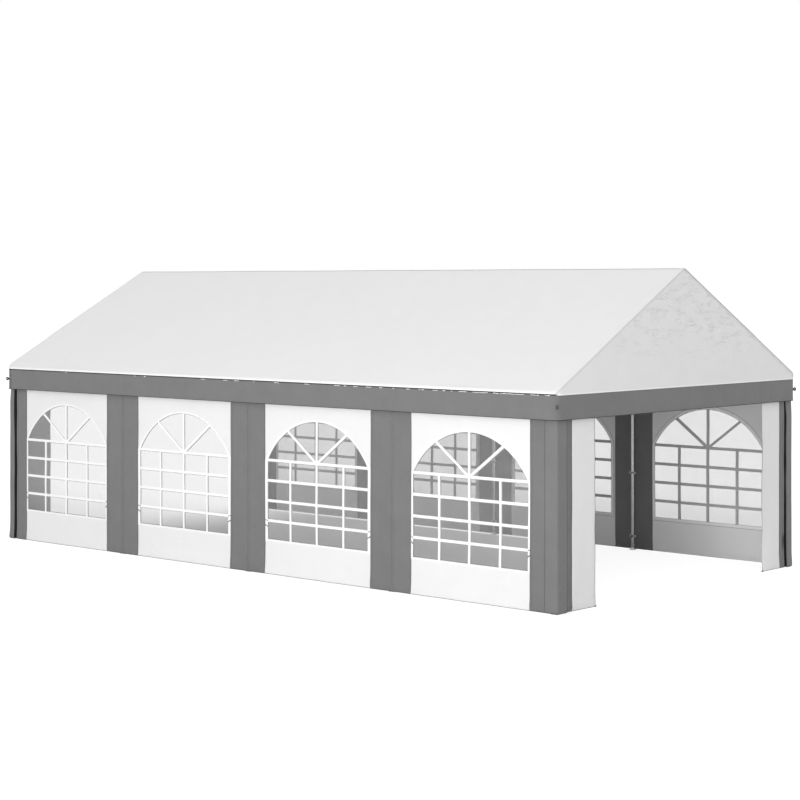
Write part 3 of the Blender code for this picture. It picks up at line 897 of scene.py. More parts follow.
def build_bars(side, number, middle):
    """The strips of one window on both faces of its film, with the tape round it."""
    sz = sizes()
    bars = bmesh.new()
    outer_face = -sz.cloth + 0.0009
    inner_face = -sz.cloth - sz.film - 0.0007
    lines = [((-WINDOW_HALF, z), (WINDOW_HALF, z), 0.0) for z in BAR_HEIGHTS]
    lines += [((x, WINDOW_SILL), (x, WINDOW_SPRINGING), 0.0004) for x in BAR_PLACES]
    lines += [((0, WINDOW_SILL), (0, WINDOW_TOP), 0.0004)]
    lines += [((0, WINDOW_SPRINGING), (way * FAN_END[0], FAN_END[1]), 0.0002) for way in (-1, 1)]
    for (start_x, start_z), (end_x, end_z), rise in lines:
        # The inner strips, shifted, show through the film as grey lines beside the outer ones: painted
        # shadow
        for face, (right, down), finish in (
                (outer_face + rise, (0.0, 0.0), 0), (inner_face - rise, INNER_SHIFT, 2)):
            strip = flat_bar(
                (start_x + middle + right, start_z - down), (end_x + middle + right, end_z - down),
                sz.bar, sz.pitch)
            add_layer(bars, strip, STRIP_THICKNESS, face, finish)
    white = WHITE_HALVES[number - 1]
    wide = white + 0.006 - WINDOW_HALF - sz.surround
    hem_face = inner_face - STRIP_THICKNESS
    # The two thin dark rings at the edges of the inner hem are painted shadow along the hem
    for low, high, widened, face, finish in (
            (-0.001, sz.surround, wide, 0.0025, 0), (-0.004, sz.hem, 0.0, hem_face, 0),
            (-0.0065, -0.004, 0.0, hem_face, 1), (sz.hem, sz.hem + 0.0025, 0.0, hem_face, 1)):
        add_layer(bars, window_ring(middle, low, high, widened), STRIP_THICKNESS, face, finish)
    for way in (-1, 1):
        for high, low, width in STITCHES:
            stitch = flat_bar(
                (middle + way * (white + 0.003), high), (middle + way * (WINDOW_HALF - 0.002), low),
                width, 0.01)
            add_layer(bars, stitch, STRIP_THICKNESS, 0.0046, 1)
    lay_uv(bars)
    carry_window(bars, side, number, middle)
    finish_piece(
        f"window_bars_{side}_{number}", bars,
        ["white_welded_vinyl", "dark_grey_woven_tape", "pale_grey_welded_vinyl"])


# Walls and curtains


def add_strap(whole, along):
    """A strap that is sewn inside the top of a panel and loops round the rail above it."""
    centre = Vector((along, HALF_WIDTH - LEG_Y, EAVE_AXIS_Z))
    reach = TUBE_RADIUS + STRAP_THICKNESS
    band = bmesh.new()
    ends = [band.verts.new(centre + Vector((half, -reach, 0))) for half in (-STRAP_HALF, STRAP_HALF)]
    spun(band, [*ends, band.edges.new(ends)], centre, (1, 0, 0), 24)
    if sum(face.normal.dot(face.calc_center_median() - centre) for face in band.faces) < 0:
        bmesh.ops.reverse_faces(band, faces=band.faces)
    bmesh.ops.solidify(band, geom=band.faces[:], thickness=-STRAP_THICKNESS)
    bmesh.ops.recalc_face_normals(band, faces=band.faces)
    add_part(whole, band, GREY)
    lay(
        whole, [along - STRAP_HALF, along + STRAP_HALF],
        spread([WALL_TOP - 0.045, EAVE_AXIS_Z - 0.004], 0.012), STRAP_THICKNESS,
        -sizes().cloth - 0.0003, GREY)


def add_cloth(whole, bands, dark, stops, cut=None):
    """Lays the coloured cloths of a panel side by side and hemmed, with a thin darker strip along the
    bottom as painted shadow: grey under white cloth, from the dark slot under grey.
    """
    sz = sizes()
    bottom, top = HEM_HEIGHT, WALL_TOP
    for low, high, finish in bands:
        rise = sz.cloth + 0.0001 if finish == GREY else 0.0
        across = [place for place in stops if low < place < high]
        up = []
        windowed = cut is not None and finish == WHITE
        if windowed:
            across = [cut - WINDOW_HALF, cut + WINDOW_HALF]
            up = [WINDOW_SILL, WINDOW_SPRINGING]
        columns = spread([low, *across, high], sz.pitch)
        roll = spread([bottom, bottom + 0.012], 0.003)
        rows = roll + spread([bottom + 0.012, bottom + sz.hem, *up, top], sz.pitch)[1:]
        flat = upright_grid(columns, rows)
        if windowed:
            cut_window(flat, cut)
        add_layer(whole, flat, sz.cloth, rise, finish)
        lay(whole, columns, [*roll, bottom + sz.hem], sz.cloth, rise + sz.cloth + 0.0001, finish)
        # The thin darker strip along the bottom edge is painted shadow where the cloth meets the floor
        hem_shadow_finish = GREY if finish == WHITE else dark
        lay(whole, columns, [bottom, bottom + 0.004], 0.0006, rise + sz.cloth + 0.0009, hem_shadow_finish)


def add_edge_tape(whole, place, way, rows, finish, rise):
    """Folds a hem back along an upright edge; way is the side of the edge that it lies on."""
    low, high = sorted((place, place + way * 0.022))
    lay(whole, spread([low, high], 0.011), rows, sizes().cloth, rise, finish)


def hang(whole, side, seed, loose=()):
    """Carries a flat panel to its side; loose edges wander a little along the wall too."""
    for vert in whole.verts:
        x, out, z = vert.co.x, -vert.co.y, vert.co.z
        out += wall_out(x, z, seed)
        place = x + wall_drift(x, z, seed)
        for edge, way, flare in loose:
            near = 1 - ease(abs(x - edge), 0.0, 0.12)
            free = ease(WALL_TOP - z, 0.05, 0.5)
            if near > 0:
                place += way * near * free * (0.002 + ripple(edge, z, seed + 1.9, 1.0, 0.24, 0.006))
                out += near * free * (flare + ripple(edge, z, seed + 4.4, 1.0, 0.33, 0.005))
        vert.co = corner_belly(side_point(side, place, out, lifted(side, z)))


def panel_span(side, bay):
    """Where a wall panel starts and ends along its side, seen from outside and round the corner."""
    low = -HALF_LENGTH + bay * 2.0 + 0.0015
    high = low + 2.0 - 0.003
    if bay == 0:
        low = -HALF_LENGTH + LEFT_SLIT_END
    if bay == 3:
        high = wrap_end(HALF_LENGTH, FRONT_WRAP if side == "front" else BACK_WRAP)
    return (low, high) if side == "front" else (-high, -low)


def double_corner(whole, way, edge, rise):
    """A second cloth, sewn on where the last panel turns the corner leg; its lighter tone is a painted
    highlight.
    """
    sz = sizes()
    start = way * (HALF_LENGTH - CORNER_PATCH)
    columns = spread(corner_stops(*sorted((start, edge)), HALF_LENGTH), sz.pitch)
    rows = spread([HEM_HEIGHT + 0.012, WALL_TOP], sz.pitch)
    lay(whole, columns, rows, sz.cloth, rise + sz.cloth + 0.0006, 2)
    for place in (start, edge - way * 0.0015):
        lay(whole, [place - 0.0015, place + 0.0015], rows, 0.0008, rise + sz.cloth + 0.0010, 4)


def shade_gap_with_black_tape(whole, edge, outward):
    """A black tape inside a loose edge, painted shade that darkens the gap to the next cloth."""
    columns = spread(sorted((edge - outward * 0.020, edge + outward * 0.068)), 0.012)
    lay(whole, columns, spread([HEM_HEIGHT + 0.004, WALL_TOP], sizes().pitch), 0.0008, -0.0052, 3)


def build_wall(side, number, middle):
    """One wall panel: a white middle with its window, between two grey bands."""
    sz = sizes()
    low, high = panel_span(side, number - 1)
    left, right = middle - WHITE_HALVES[number - 1], middle + WHITE_HALVES[number - 1]
    lap = 0.010
    whole = bmesh.new()
    bands = [(left - lap, right + lap, WHITE), (low, left, GREY), (right, high, GREY)]
    add_cloth(whole, bands, 4, corner_stops(low, high, HALF_LENGTH), middle)
    rows = spread([HEM_HEIGHT, WALL_TOP], sz.pitch)
    rise = 2 * sz.cloth + 0.0005
    for place, way in ((low, 1), (high, -1), (left, -1), (right, 1)):
        add_edge_tape(whole, place, way, rows, GREY, rise)
    for place in (left - 0.0015, right + 0.0015):
        lay(whole, [place - 0.0012, place + 0.0012], rows, 0.0008, rise + 0.0008, 4)
    for place in WALL_STRAPS:
        add_strap(whole, middle + place)
    way = 1 if side == "front" else -1
    edge = {1: low if way > 0 else high, 4: high if way > 0 else low}.get(number)
    outward = -way if number == 1 else way
    if number == 4:
        double_corner(whole, way, edge, rise)
    if edge is not None and (side, number) != ("front", 4):
        shade_gap_with_black_tape(whole, edge, outward)
    lay_uv(whole)
    loose = [] if edge is None else [(edge, -outward, LOOSE_FLARES[number])]
    hang(whole, side, SIDE_SEEDS[side], loose)
    panel = finish_piece(
        f"wall_panel_{side}_{number}", whole, WALL_SET, [f"wall_{side}_{number}"])


def build_curtain(side, depth):
    """One narrow curtain beside a doorway, white towards the doorway and grey towards the leg."""
    sz = sizes()
    way = (1 if depth == "back" else -1) * (1 if side == "right" else -1)
    outer = CURTAIN_OUTER_EDGE
    if side == "left":
        outer = wrap_end(HALF_WIDTH, LEFT_WRAP)
    elif depth == "front":
        outer = HALF_WIDTH - FRONT_WRAP + 0.012
    grey = CURTAIN_GREY_START
    bands = [(DOORWAY_EDGE, grey + 0.008, WHITE), (grey, outer, GREY)]
    if way < 0:
        bands = [(-high, -low, finish) for low, high, finish in bands]
    low, high = min(band[0] for band in bands), max(band[1] for band in bands)
    whole = bmesh.new()
    add_cloth(whole, bands, 3, corner_stops(low, high, HALF_WIDTH))
    rows = spread([HEM_HEIGHT, WALL_TOP], sz.pitch)
    add_edge_tape(whole, way * DOORWAY_EDGE, way, rows, WHITE, sz.cloth + 0.0004)
    add_edge_tape(whole, way * grey, way, rows, GREY, 2 * sz.cloth + 0.0005)
    add_edge_tape(whole, way * outer, -way, rows, GREY, 2 * sz.cloth + 0.0005)
    for place, rise in ((DOORWAY_EDGE + 0.001, 2 * sz.cloth + 0.0006), (grey, 3 * sz.cloth + 0.0007)):
        lay(whole, [way * place - 0.0018, way * place + 0.0018], rows, 0.0008, rise, 3)
    for place in CURTAIN_STRAPS:
        add_strap(whole, way * place)
    peg = cord_ring(0.0085, 0.0026, 0.0, 20)
    bmesh.ops.rotate(peg, verts=peg.verts, cent=(0, 0, 0), matrix=UPRIGHT)
    bmesh.ops.translate(
        peg, verts=peg.verts, vec=(way * (DOORWAY_EDGE - 0.002), -0.004, HEM_HEIGHT + 0.007))
    add_part(whole, peg, 2)
    lay_uv(whole)
    if (side, depth) == ("right", "front"):
        # The grey end is tucked behind the wall that turns the corner
        for vert in whole.verts:
            vert.co.y += 0.0045 * ease(abs(vert.co.x), grey - 0.03, grey + 0.03)
    seed = SIDE_SEEDS[side] + (0.6 if depth == "back" else 0.0)
    hang(whole, side, seed, [(way * DOORWAY_EDGE, way, 0.003), (way * outer, -way, 0.0)])
    curtain = finish_piece(
        f"door_curtain_{side}_{depth}", whole, CURTAIN_SET, [f"curtain_{side}_{depth}"])


# Roof, gables and valance


def cover_profile(distance):
    """Half of the roof's section: Y and Z, and the way that it faces, at a distance down it."""
    if SLOPE_START <= distance and distance - SLOPE_START < SLOPE_LENGTH:
        return SLOPE_TOP.lerp(SLOPE_FOOT, (distance - SLOPE_START) / SLOPE_LENGTH), SLOPE_FACE
    if distance < SLOPE_START:
        axis, radius, turn = RIDGE_AXIS, CORNER_RADIUS, distance / CORNER_RADIUS
    else:
        axis, radius = ROLL_AXIS, EAVE_ROLL_RADIUS
        turn = PITCH + (distance - SLOPE_START - SLOPE_LENGTH) / EAVE_ROLL_RADIUS
    face = Vector((math.sin(turn), math.cos(turn)))
    return axis + face * radius, face


def roof_out(along, across):
    """How far the roof stands out: it sinks between the arches and creases on the slant."""
    down = (abs(across) - SLOPE_START) / (SLOPE_END - SLOPE_START)
    gap = min(abs(along - place) for place in ARCH_PLACES)
    between = math.sin(min(gap, 1.0) * math.pi / 2) ** 2 if abs(along) < LEG_X else 0.0
    if not 0.0 < down < 1.0:
        return -0.0018 * between if down <= 0.0 else 0.0
    hang_down = max(math.sin(math.pi * down) ** 0.7 * sizes().roof_sag, 0.0018)
    loose = ease(down, 0.0, 0.08) * ease(1 - down, 0.0, 0.05)
    swell = ripple(along + 0.5 * across, across, 5.2, 0.7, 1.1, 0.0035)
    slanted = ripple(along - 1.1 * abs(across), abs(across) + along, 8.8, 0.16, 1.3, 1.0)
    crease = 0.0022 * (1 - ease(abs(slanted), 0.0, 0.16))
    crease *= ease(ripple(along, across, 9.9, 1.1, 1.1, 1.0), 0.0, 0.3)
    return -between * hang_down + (swell + crease) * loose * ease(gap, 0.0, 0.2)


def cover_point(along, across, out):
    """A point of the roof cover, measured on the cloth along the ridge and across it."""
    radius = sizes().rake
    base, face = cover_profile(abs(across))
    straight = COVER_X - radius
    over = max(abs(along) - straight, 0.0)
    turn = min(over / radius, math.pi / 2)
    drop = radius * (1 - math.cos(turn)) + over - turn * radius
    x = math.copysign(min(abs(along), straight) + (radius + out) * math.sin(turn), along)
    place = base + face * (out * math.cos(turn) - drop)
    return lean_in(round_corner(Vector((x, math.copysign(place.x, across), place.y))))


def roof_rows():
    """Places down both slopes of the roof, fine where it bends."""
    end = SLOPE_END + EAVE_ROLL_RADIUS * (math.pi / 2 - PITCH) + ROLL_AXIS_Z - EAVE_HEIGHT
    end = end - SEAM_RISE + sizes().eave_lap
    half = [
        *spread([0.0, SLOPE_START], 0.004), *spread([SLOPE_START, SLOPE_END], 0.035)[1:],
        *spread([SLOPE_END, end - 0.012, end], 0.0045)[1:]]
    return [-place for place in reversed(half[1:])] + half


def build_roof():
    """The whole roof cover, over the ridge and both eaves, turned down at the gables."""
    sz = sizes()
    rows = roof_rows()
    straight = COVER_X - sz.rake
    end = straight + sz.rake * math.pi / 2 + sz.rake_drop - sz.rake
    half = [
        *spread([0.0, 2.0, LEG_X, straight - 0.030, straight], 0.035),
        *spread([straight, end], 0.0035)[1:]]
    columns = [-place for place in reversed(half[1:])] + half
    whole = bmesh.new()
    lay(whole, columns, rows, sz.cloth)
    for way in (-1, 1):
        tape = spread(sorted((way * (straight + 0.003), way * (straight - 0.027))), 0.010)
        lay(whole, tape, rows, 0.0010, 0.0012)
        bead = spread(sorted((way * (rows[-1] - 0.013), way * rows[-1])), 0.004)
        lay(whole, columns, bead, 0.0010, 0.0012, 1)
    # The tape over the ridge
    lay(whole, columns, spread([-0.014, 0.014], 0.004), 0.0008, 0.0022, 2)
    lay_uv(whole)
    for vert in whole.verts:
        along, out, across = vert.co.x, -vert.co.y, vert.co.z
        vert.co = cover_point(along, across, out + roof_out(along, across))
    cover = finish_piece(
        "roof_cover", whole,
        ["white_laminated_tarpaulin_roof", "white_welded_vinyl", "pale_grey_vinyl_piping"],
        ["roof_front", "roof_back"])


def build_rake_piping(side):
    """The corded edge between the roof and one gable, from eave to eave."""
    sz = sizes()
    cord = upright_grid(spread([0.0, 2 * math.pi], math.pi / 6), roof_rows())
    for vert in cord.verts:
        turn, across = vert.co.x, vert.co.z
        base, face = cover_profile(abs(across))
        place = base + face * (sz.piping * math.cos(turn) - 0.0055)
        x = COVER_X - 0.0055 + sz.piping * math.sin(turn)
        x = x if side == "right" else -x
        vert.co = lean_in(round_corner(Vector((x, math.copysign(place.x, across), place.y))))
    bmesh.ops.remove_doubles(cord, verts=cord.verts, dist=0.00002)
    bmesh.ops.holes_fill(cord, edges=[edge for edge in cord.edges if edge.is_boundary])
    bmesh.ops.recalc_face_normals(cord, faces=cord.faces)
    whole = bmesh.new()
    add_part(whole, cord)
    finish_piece(f"rake_piping_{side}", whole, ["pale_grey_vinyl_piping"])


def gable_planes(inset):
    """Point and direction, in Y and Z, of each straight cut that shapes a gable under the roof."""
    planes = [(RIDGE_AXIS, CORNER_RADIUS, PITCH * share) for share in (0.0, 1 / 3, 2 / 3, 1.0)]
    planes += [
        (ROLL_AXIS, EAVE_ROLL_RADIUS, PITCH + (math.pi / 2 - PITCH) * step / 5)
        for step in range(1, 6)]
    cuts = []
    for axis, radius, turn in planes:
        face = Vector((math.sin(turn), math.cos(turn)))
        for way in (-1, 1):
            place = axis + face * (radius - inset)
            cuts.append((Vector((way * place.x, place.y)), Vector((way * face.x, face.y))))
    return cuts


def build_gable(side):
    """The triangle of cloth at one end, tucked under the roof's edge and lapped on the valance."""
    sz = sizes()
    bottom = EAVE_HEIGHT + SEAM_RISE - 0.013
    seed = SIDE_SEEDS[side] + 3.3
    depth = COVER_X - sz.cloth - 0.0014
    cuts = gable_planes(sz.cloth + 0.0008)
    sheet = upright_grid(
        spread([-COVER_Y, 0.0, COVER_Y], 0.018), spread([bottom, bottom + 0.02, RIDGE_HEIGHT], 0.018))
    for place, face in cuts:
        bmesh.ops.bisect_plane(
            sheet, geom=[*sheet.verts, *sheet.edges, *sheet.faces], dist=1e-6,
            plane_co=(place.x, 0, place.y), plane_no=(face.x, 0, face.y), clear_outer=True)
    bmesh.ops.remove_doubles(sheet, verts=sheet.verts, dist=0.0002)
    whole = bmesh.new()
    add_layer(whole, sheet, sz.cloth)
    # The lowest edge is rolled to a welded bead
    hem = upright_grid(
        spread([-COVER_Y + 0.02, COVER_Y - 0.02], 0.018),
        spread([bottom - 0.001, bottom + 0.011], 0.003))
    for vert in hem.verts:
        vert.co.y = -0.0032 * math.sin(math.pi * (vert.co.z - bottom + 0.001) / 0.012)
    add_layer(whole, hem, 0.0008, 0.0003, 1)
    lay_uv(whole)
    for vert in whole.verts:
        y, out, z = vert.co.x, -vert.co.y, vert.co.z
        room = min((place - Vector((y, z))).dot(face) for place, face in cuts)
        free = ease(room, 0.02, 0.22) * ease(z, bottom + 0.02, bottom + 0.16)
        upper = 0.35 + 0.65 * ease(z, 2.25, 2.6)
        out += free * (
            ripple(y, z, seed, 0.7, 0.5, 2.2 * sz.wrinkle)
            + upper * ripple(y + 0.6 * z, z - 0.3 * y, seed + 1, 0.13, 0.34, sz.wrinkle)
            + upper * ripple(y - 0.8 * z, z, seed + 2, 0.09, 0.15, 0.6 * sz.wrinkle))
        vert.co = lean_in(round_corner(turn_to_side(side, y, -(depth + out), z)))
    gable = finish_piece(
        f"gable_cloth_{side}", whole, ["white_laminated_tarpaulin_gable", "white_welded_vinyl"],
        [f"gable_{side}"])


def valance_out(along, height):
    """How far the valance stands out: soft billows, and a crease at each joint of the bays."""
    low = 1 - ease(height, VALANCE_BOTTOM + 0.02, EAVE_HEIGHT - 0.02)
    billow = ripple(along, height, 61.0, 0.42, 0.5, 0.0045) * (0.25 + 0.75 * low)
    folds = ripple(along, height, 64.0, 0.07, 0.4, 0.0018)
    dent = -0.003 * sum(1 - ease(abs(along - place), 0.0, 0.03) for place in (-2.0, 0.0, 2.0))
    return (billow + folds + dent) * ease(EAVE_HEIGHT - height, 0.0, 0.05)


def valance_runs(inset):
    """Side, start and half length of each straight run of the valance, and its whole length."""
    runs, start = [], 0.0
    for side in ("front", "right", "back", "left"):
        straight = (HALF_LENGTH if side in ("front", "back") else HALF_WIDTH) + OVERHANG - COVER_FOLD
        runs.append((side, start, straight))
        start += 2 * straight + (COVER_FOLD - inset) * math.pi / 2
    return runs, start


def place_on_run(runs, place):
    """Side, distance from its middle and half length of the run at a place on the valance."""
    side, begin, straight = next(run for run in reversed(runs) if place >= run[1] - 1e-6)
    return side, place - begin - straight, straight


def add_hem_dashes(whole, runs, stops, seam):
    """Short dashes of the roof's white hem, where it shows through the seam of the long sides."""
    dashes = upright_grid(spread(stops, 0.008), [seam - 0.0190, seam - 0.0147])
    hidden = []
    for face in dashes.faces:
        side, along, straight = place_on_run(runs, face.calc_center_median().x)
        shown = ripple(along, 0.0, 71.0, 0.085, 1.0, 1.0) + ripple(along, 0.0, 72.0, 0.9, 1.0, 0.5)
        shown += 0.09 * ((along if side == "front" else -along) - 2.2)
        if side in ("left", "right") or abs(along) > straight or shown < 0.06:
            hidden.append(face)
    bmesh.ops.delete(dashes, geom=hidden, context="FACES")
    for vert in dashes.verts:
        vert.co.z += ripple(vert.co.x, vert.co.z, 75.0, 0.03, 0.004, 0.0035)
    add_layer(whole, dashes, 0.0006, 0.0012, 2)


def build_valance():
    """The grey strip that hangs from the edge of the roof, right round the tent."""
    sz = sizes()
    inset = 2 * sz.cloth + 0.0016
    radius = COVER_FOLD - inset
    seam = EAVE_HEIGHT + SEAM_RISE
    top = seam + 0.005
    runs, length = valance_runs(inset)
    stops = [0.0]
    for side, begin, straight in runs:
        stops += [begin + 2 * straight + radius * math.pi / 2 * step / 8 for step in range(9)]
    columns = spread(stops, sz.pitch)
    low = VALANCE_BOTTOM
    whole = bmesh.new()
    lay(whole, columns, spread([low, low + 0.022, top], 0.019), sz.cloth)
    lay(whole, columns, spread([low + 0.001, low + 0.022], 0.007), sz.cloth, sz.cloth + 0.0001)
    # Dark tapes along the top and the bottom edge are painted shadow, under the roof's hem and under the
    # valance's edge
    lay(whole, columns, [seam - 0.014, seam - 0.002], 0.0008, 0.0010, 1)
    lay(whole, columns, [low, low + 0.005], 0.0008, 0.0028, 1)
    add_hem_dashes(whole, runs, stops, seam)
    lay_uv(whole)
    for vert in whole.verts:
        out, z = -vert.co.y, vert.co.z
        side, along, straight = place_on_run(runs, vert.co.x)
        bend = 1 - ease(straight + 0.02 - abs(along), 0.0, 0.15)
        out += valance_out(along + 13.0 * SIDE_TURNS[side][1] + 31.0 * (side == "back"), z) * (1 - bend)
        vert.co = side_point(side, along, out, z, OVERHANG - inset, radius)
    bmesh.ops.remove_doubles(whole, verts=whole.verts, dist=0.00005)
    valance = finish_piece(
        "valance_band", whole,
        ["grey_laminated_tarpaulin", "dark_grey_woven_tape", "white_welded_vinyl"],
        [f"valance_{side}" for side in SIDE_TURNS])


# Frame


def turned(profile, steps=32):
    """Turns a profile of radius and height round Z into a closed body."""
    body = bmesh.new()
    verts = [body.verts.new((radius, 0, height)) for radius, height in profile]
    edges = [body.edges.new(pair) for pair in zip(verts, verts[1:])]
    return spun(body, [*verts, *edges], (0, 0, 0), (0, 0, 1), steps)


def aim(body, start, direction):
    """Carries a body that stands on Z so that it starts at a point and runs along a direction."""
    turn = Vector(direction).to_track_quat("Z", "Y").to_matrix().to_4x4()
    bmesh.ops.transform(body, matrix=Matrix.Translation(start) @ turn, verts=body.verts)
    return body


def tube(start, end, radius):
    """A round tube with eased ends."""
    lip = 0.0012
    run = Vector(end) - Vector(start)
    profile = [
        (0, 0), (radius - lip, 0), (radius, lip), (radius, run.length - lip),
        (radius - lip, run.length), (0, run.length)]
    return aim(turned(profile), start, run)


def hex_bolt(place, direction, reach):
    """A hexagon head with its washer on one side of a socket, and the nut on the other."""
    whole = bmesh.new()
    for way, height in ((1, 0.0055), (-1, 0.0065)):
        side = Vector(direction) * way
        base = Vector(place) + side * reach
        washer = turned([(0, -0.002), (0.0095, -0.002), (0.0095, 0.0012), (0, 0.0012)], 20)
        join(whole, aim(washer, base, side))
        head = bmesh.new()
        bmesh.ops.create_cone(
            head, cap_ends=True, segments=6, radius1=0.0068, radius2=0.0068, depth=height,
            matrix=Matrix.Translation((0, 0, 0.0012 + height / 2)))
        top = [edge for edge in head.edges if all(vert.co.z > height for vert in edge.verts)]
        bmesh.ops.bevel(
            head, geom=top, offset=0.0008, segments=1, profile=0.5, affect="EDGES", material=-1)
        join(whole, aim(head, base, side))
    end = turned([(0, 0), (0.0038, 0), (0.0038, 0.0035), (0.003, 0.0045), (0, 0.0045)], 14)
    join(whole, aim(end, Vector(place) - Vector(direction) * (reach + 0.0077), -Vector(direction)))
    return whole


def cord_ring(radius, thickness, height, steps=28):
    """A ring of elastic cord round Z."""
    ring = bmesh.new()
    made = bmesh.ops.create_circle(
        ring, segments=10, radius=thickness,
        matrix=Matrix.Translation((radius, 0, height)) @ Matrix.Rotation(math.radians(90), 4, "X"))
    edges = list({edge for vert in made["verts"] for edge in vert.link_edges})
    return spun(ring, [*made["verts"], *edges], (0, 0, 0), (0, 0, 1), steps)


def ball_tie(whole, height, directions):
    """Elastic cord wound round a leg, with a ball on each side that holds a wall's edge."""
    radius, cord = sizes().ball, 0.0022
    for rise in (-0.0075, 0.0, 0.0075):
        add_part(whole, cord_ring(TUBE_RADIUS + cord, cord, height + rise), 2)
    profile = [
        (radius * math.sin(math.pi * step / 14), radius - radius * math.cos(math.pi * step / 14))
        for step in range(15)]
    for direction in directions:
        start = Vector((0, 0, height)) + Vector(direction) * (TIE_REACH - 2 * radius)
        add_part(whole, aim(turned(profile, 24), start, direction), 1)


def foot_plate():
    """A square plate with rounded corners and two peg holes, with the weld round the tube."""
    plate = bmesh.new()
    shape = Matrix.Diagonal((PLATE_SIZE, PLATE_SIZE, PLATE_THICKNESS, 1.0))
    lift = Matrix.Translation((0, 0, PLATE_THICKNESS / 2))
    bmesh.ops.create_cube(plate, size=1.0, matrix=lift @ shape)
    upright = [edge for edge in plate.edges if abs(edge.verts[0].co.z - edge.verts[1].co.z) > 0.001]
    bmesh.ops.bevel(
        plate, geom=upright, offset=0.006, segments=4, profile=0.5, affect="EDGES", material=-1)
    rim = [
        edge for edge in plate.edges if all(vert.co.z > PLATE_THICKNESS / 2 for vert in edge.verts)
        and any(len(face.verts) > 4 for face in edge.link_faces)]
    bmesh.ops.bevel(
        plate, geom=rim, offset=0.0006, segments=2, profile=0.5, affect="EDGES", material=-1)
    inner, top = TUBE_RADIUS - 0.002, PLATE_THICKNESS
    weld = turned([
        (inner, top - 0.001), (TUBE_RADIUS + 0.0042, top - 0.0005), (TUBE_RADIUS + 0.0030, top + 0.0022),
        (TUBE_RADIUS + 0.0004, top + 0.0036), (inner, top + 0.0036), (inner, top - 0.001)])
    collar = turned([
        (inner, 0.003), (0.0290, 0.003), (0.0290, 0.0065), (0.0245, 0.021), (0.0212, 0.034),
        (TUBE_RADIUS + 0.0003, 0.036), (inner, 0.036), (inner, 0.003)])
    whole = bmesh.new()
    for part in (plate, weld, collar):
        join(whole, part)
    for way in (-1, 1):
        # A black disc stands for the dark of a peg hole
        hole = turned([(0.0, 0), (0.0052, 0), (0.0052, 0.0003), (0, 0.0003)], 18)
        place = (way * (PLATE_SIZE / 2 - 0.0065), way * (PLATE_SIZE / 2 - 0.0065), PLATE_THICKNESS)
        add_part(whole, aim(hole, place, (0, 0, 1)), 2)
    return whole


def add_leg(side, number, x, y):
    """One leg with its foot plate and its two ball ties."""
    whole = bmesh.new()
    join(whole, tube((0, 0, 0.002), (0, 0, EAVE_AXIS_Z - SOCKET_REACH + 0.03), TUBE_RADIUS))
    join(whole, foot_plate())
    directions = [(1, 0, 0), (-1, 0, 0)]
    if number in (1, 5):
        directions = [(1 if number == 1 else -1, 0, 0), (0, 1 if side == "front" else -1, 0)]
    for height in TIE_HEIGHTS:
        ball_tie(whole, height, directions)
    bmesh.ops.translate(whole, verts=whole.verts, vec=(x, y, 0))
    finish_piece(
        f"leg_tube_{side}_{number}", whole, STEEL_SET, [f"leg_{side}_{number}"])


def up_slope(side):
    """Direction up the roof from an eave towards the ridge."""
    way = 1 if side == "front" else -1
    return Vector((0, way * math.cos(PITCH), math.sin(PITCH)))


def add_rafter(side, number, x):
    """One straight rafter, from inside its eave socket to inside its ridge socket."""
    whole = bmesh.new()
    foot = Vector((x, -LEG_Y if side == "front" else LEG_Y, EAVE_AXIS_Z))
    slope = up_slope(side)
    start, end = SOCKET_REACH - 0.03, LEG_Y / math.cos(PITCH) - SOCKET_REACH + 0.03
    join(whole, tube(foot + slope * start, foot + slope * end, TUBE_RADIUS))
    finish_piece(
        f"rafter_tube_{side}_{number}", whole, STEEL_SET, [f"rafter_{side}_{number}"])


def add_socket(whole, centre, direction, across):
    """A sleeve that runs out from a connector's middle, with its weld and its bolt."""
    direction = Vector(direction)
    outer, inner = SOCKET_RADIUS, TUBE_RADIUS - 0.001
    sleeve = turned([
        (0, 0), (outer, 0), (outer, SOCKET_REACH - 0.001), (outer - 0.0006, SOCKET_REACH),
        (inner, SOCKET_REACH), (inner, SOCKET_REACH - 0.004), (0, SOCKET_REACH - 0.004)])
    join(whole, aim(sleeve, centre, direction))
    weld = turned([
        (outer - 0.001, 0.019), (outer + 0.0016, 0.0205), (outer + 0.0020, 0.023),
        (outer + 0.0010, 0.0255), (outer - 0.001, 0.026), (outer - 0.001, 0.019)])
    join(whole, aim(weld, centre, direction))
    join(whole, hex_bolt(Vector(centre) + direction * BOLT_PLACE, across, outer))


def add_rail(name, node, y, z, sockets_at):
    """A tube along the tent with a welded connector at each arch."""
    whole = bmesh.new()
    join(whole, tube((-LEG_X, y, z), (LEG_X, y, z), TUBE_RADIUS))
    for x in ARCH_PLACES:
        low = max(x - HUB_REACH, -LEG_X - HUB_RADIUS)
        high = min(x + HUB_REACH, LEG_X + HUB_RADIUS)
        join(whole, tube((low, y, z), (high, y, z), HUB_RADIUS))
        for direction, across in sockets_at(x):
            add_socket(whole, (x, y, z), direction, across)
    finish_piece(name, whole, STEEL_SET, [node])


def add_tie(side, x):
    """The tube across one end at the eaves, where the curtains hang."""
    whole = bmesh.new()
    end = LEG_Y - SOCKET_REACH + 0.03
    join(whole, tube((x, -end, EAVE_AXIS_Z), (x, end, EAVE_AXIS_Z), TUBE_RADIUS))
    finish_piece(f"tie_tube_{side}", whole, STEEL_SET, [f"tie_bar_{side}"])


# Loops


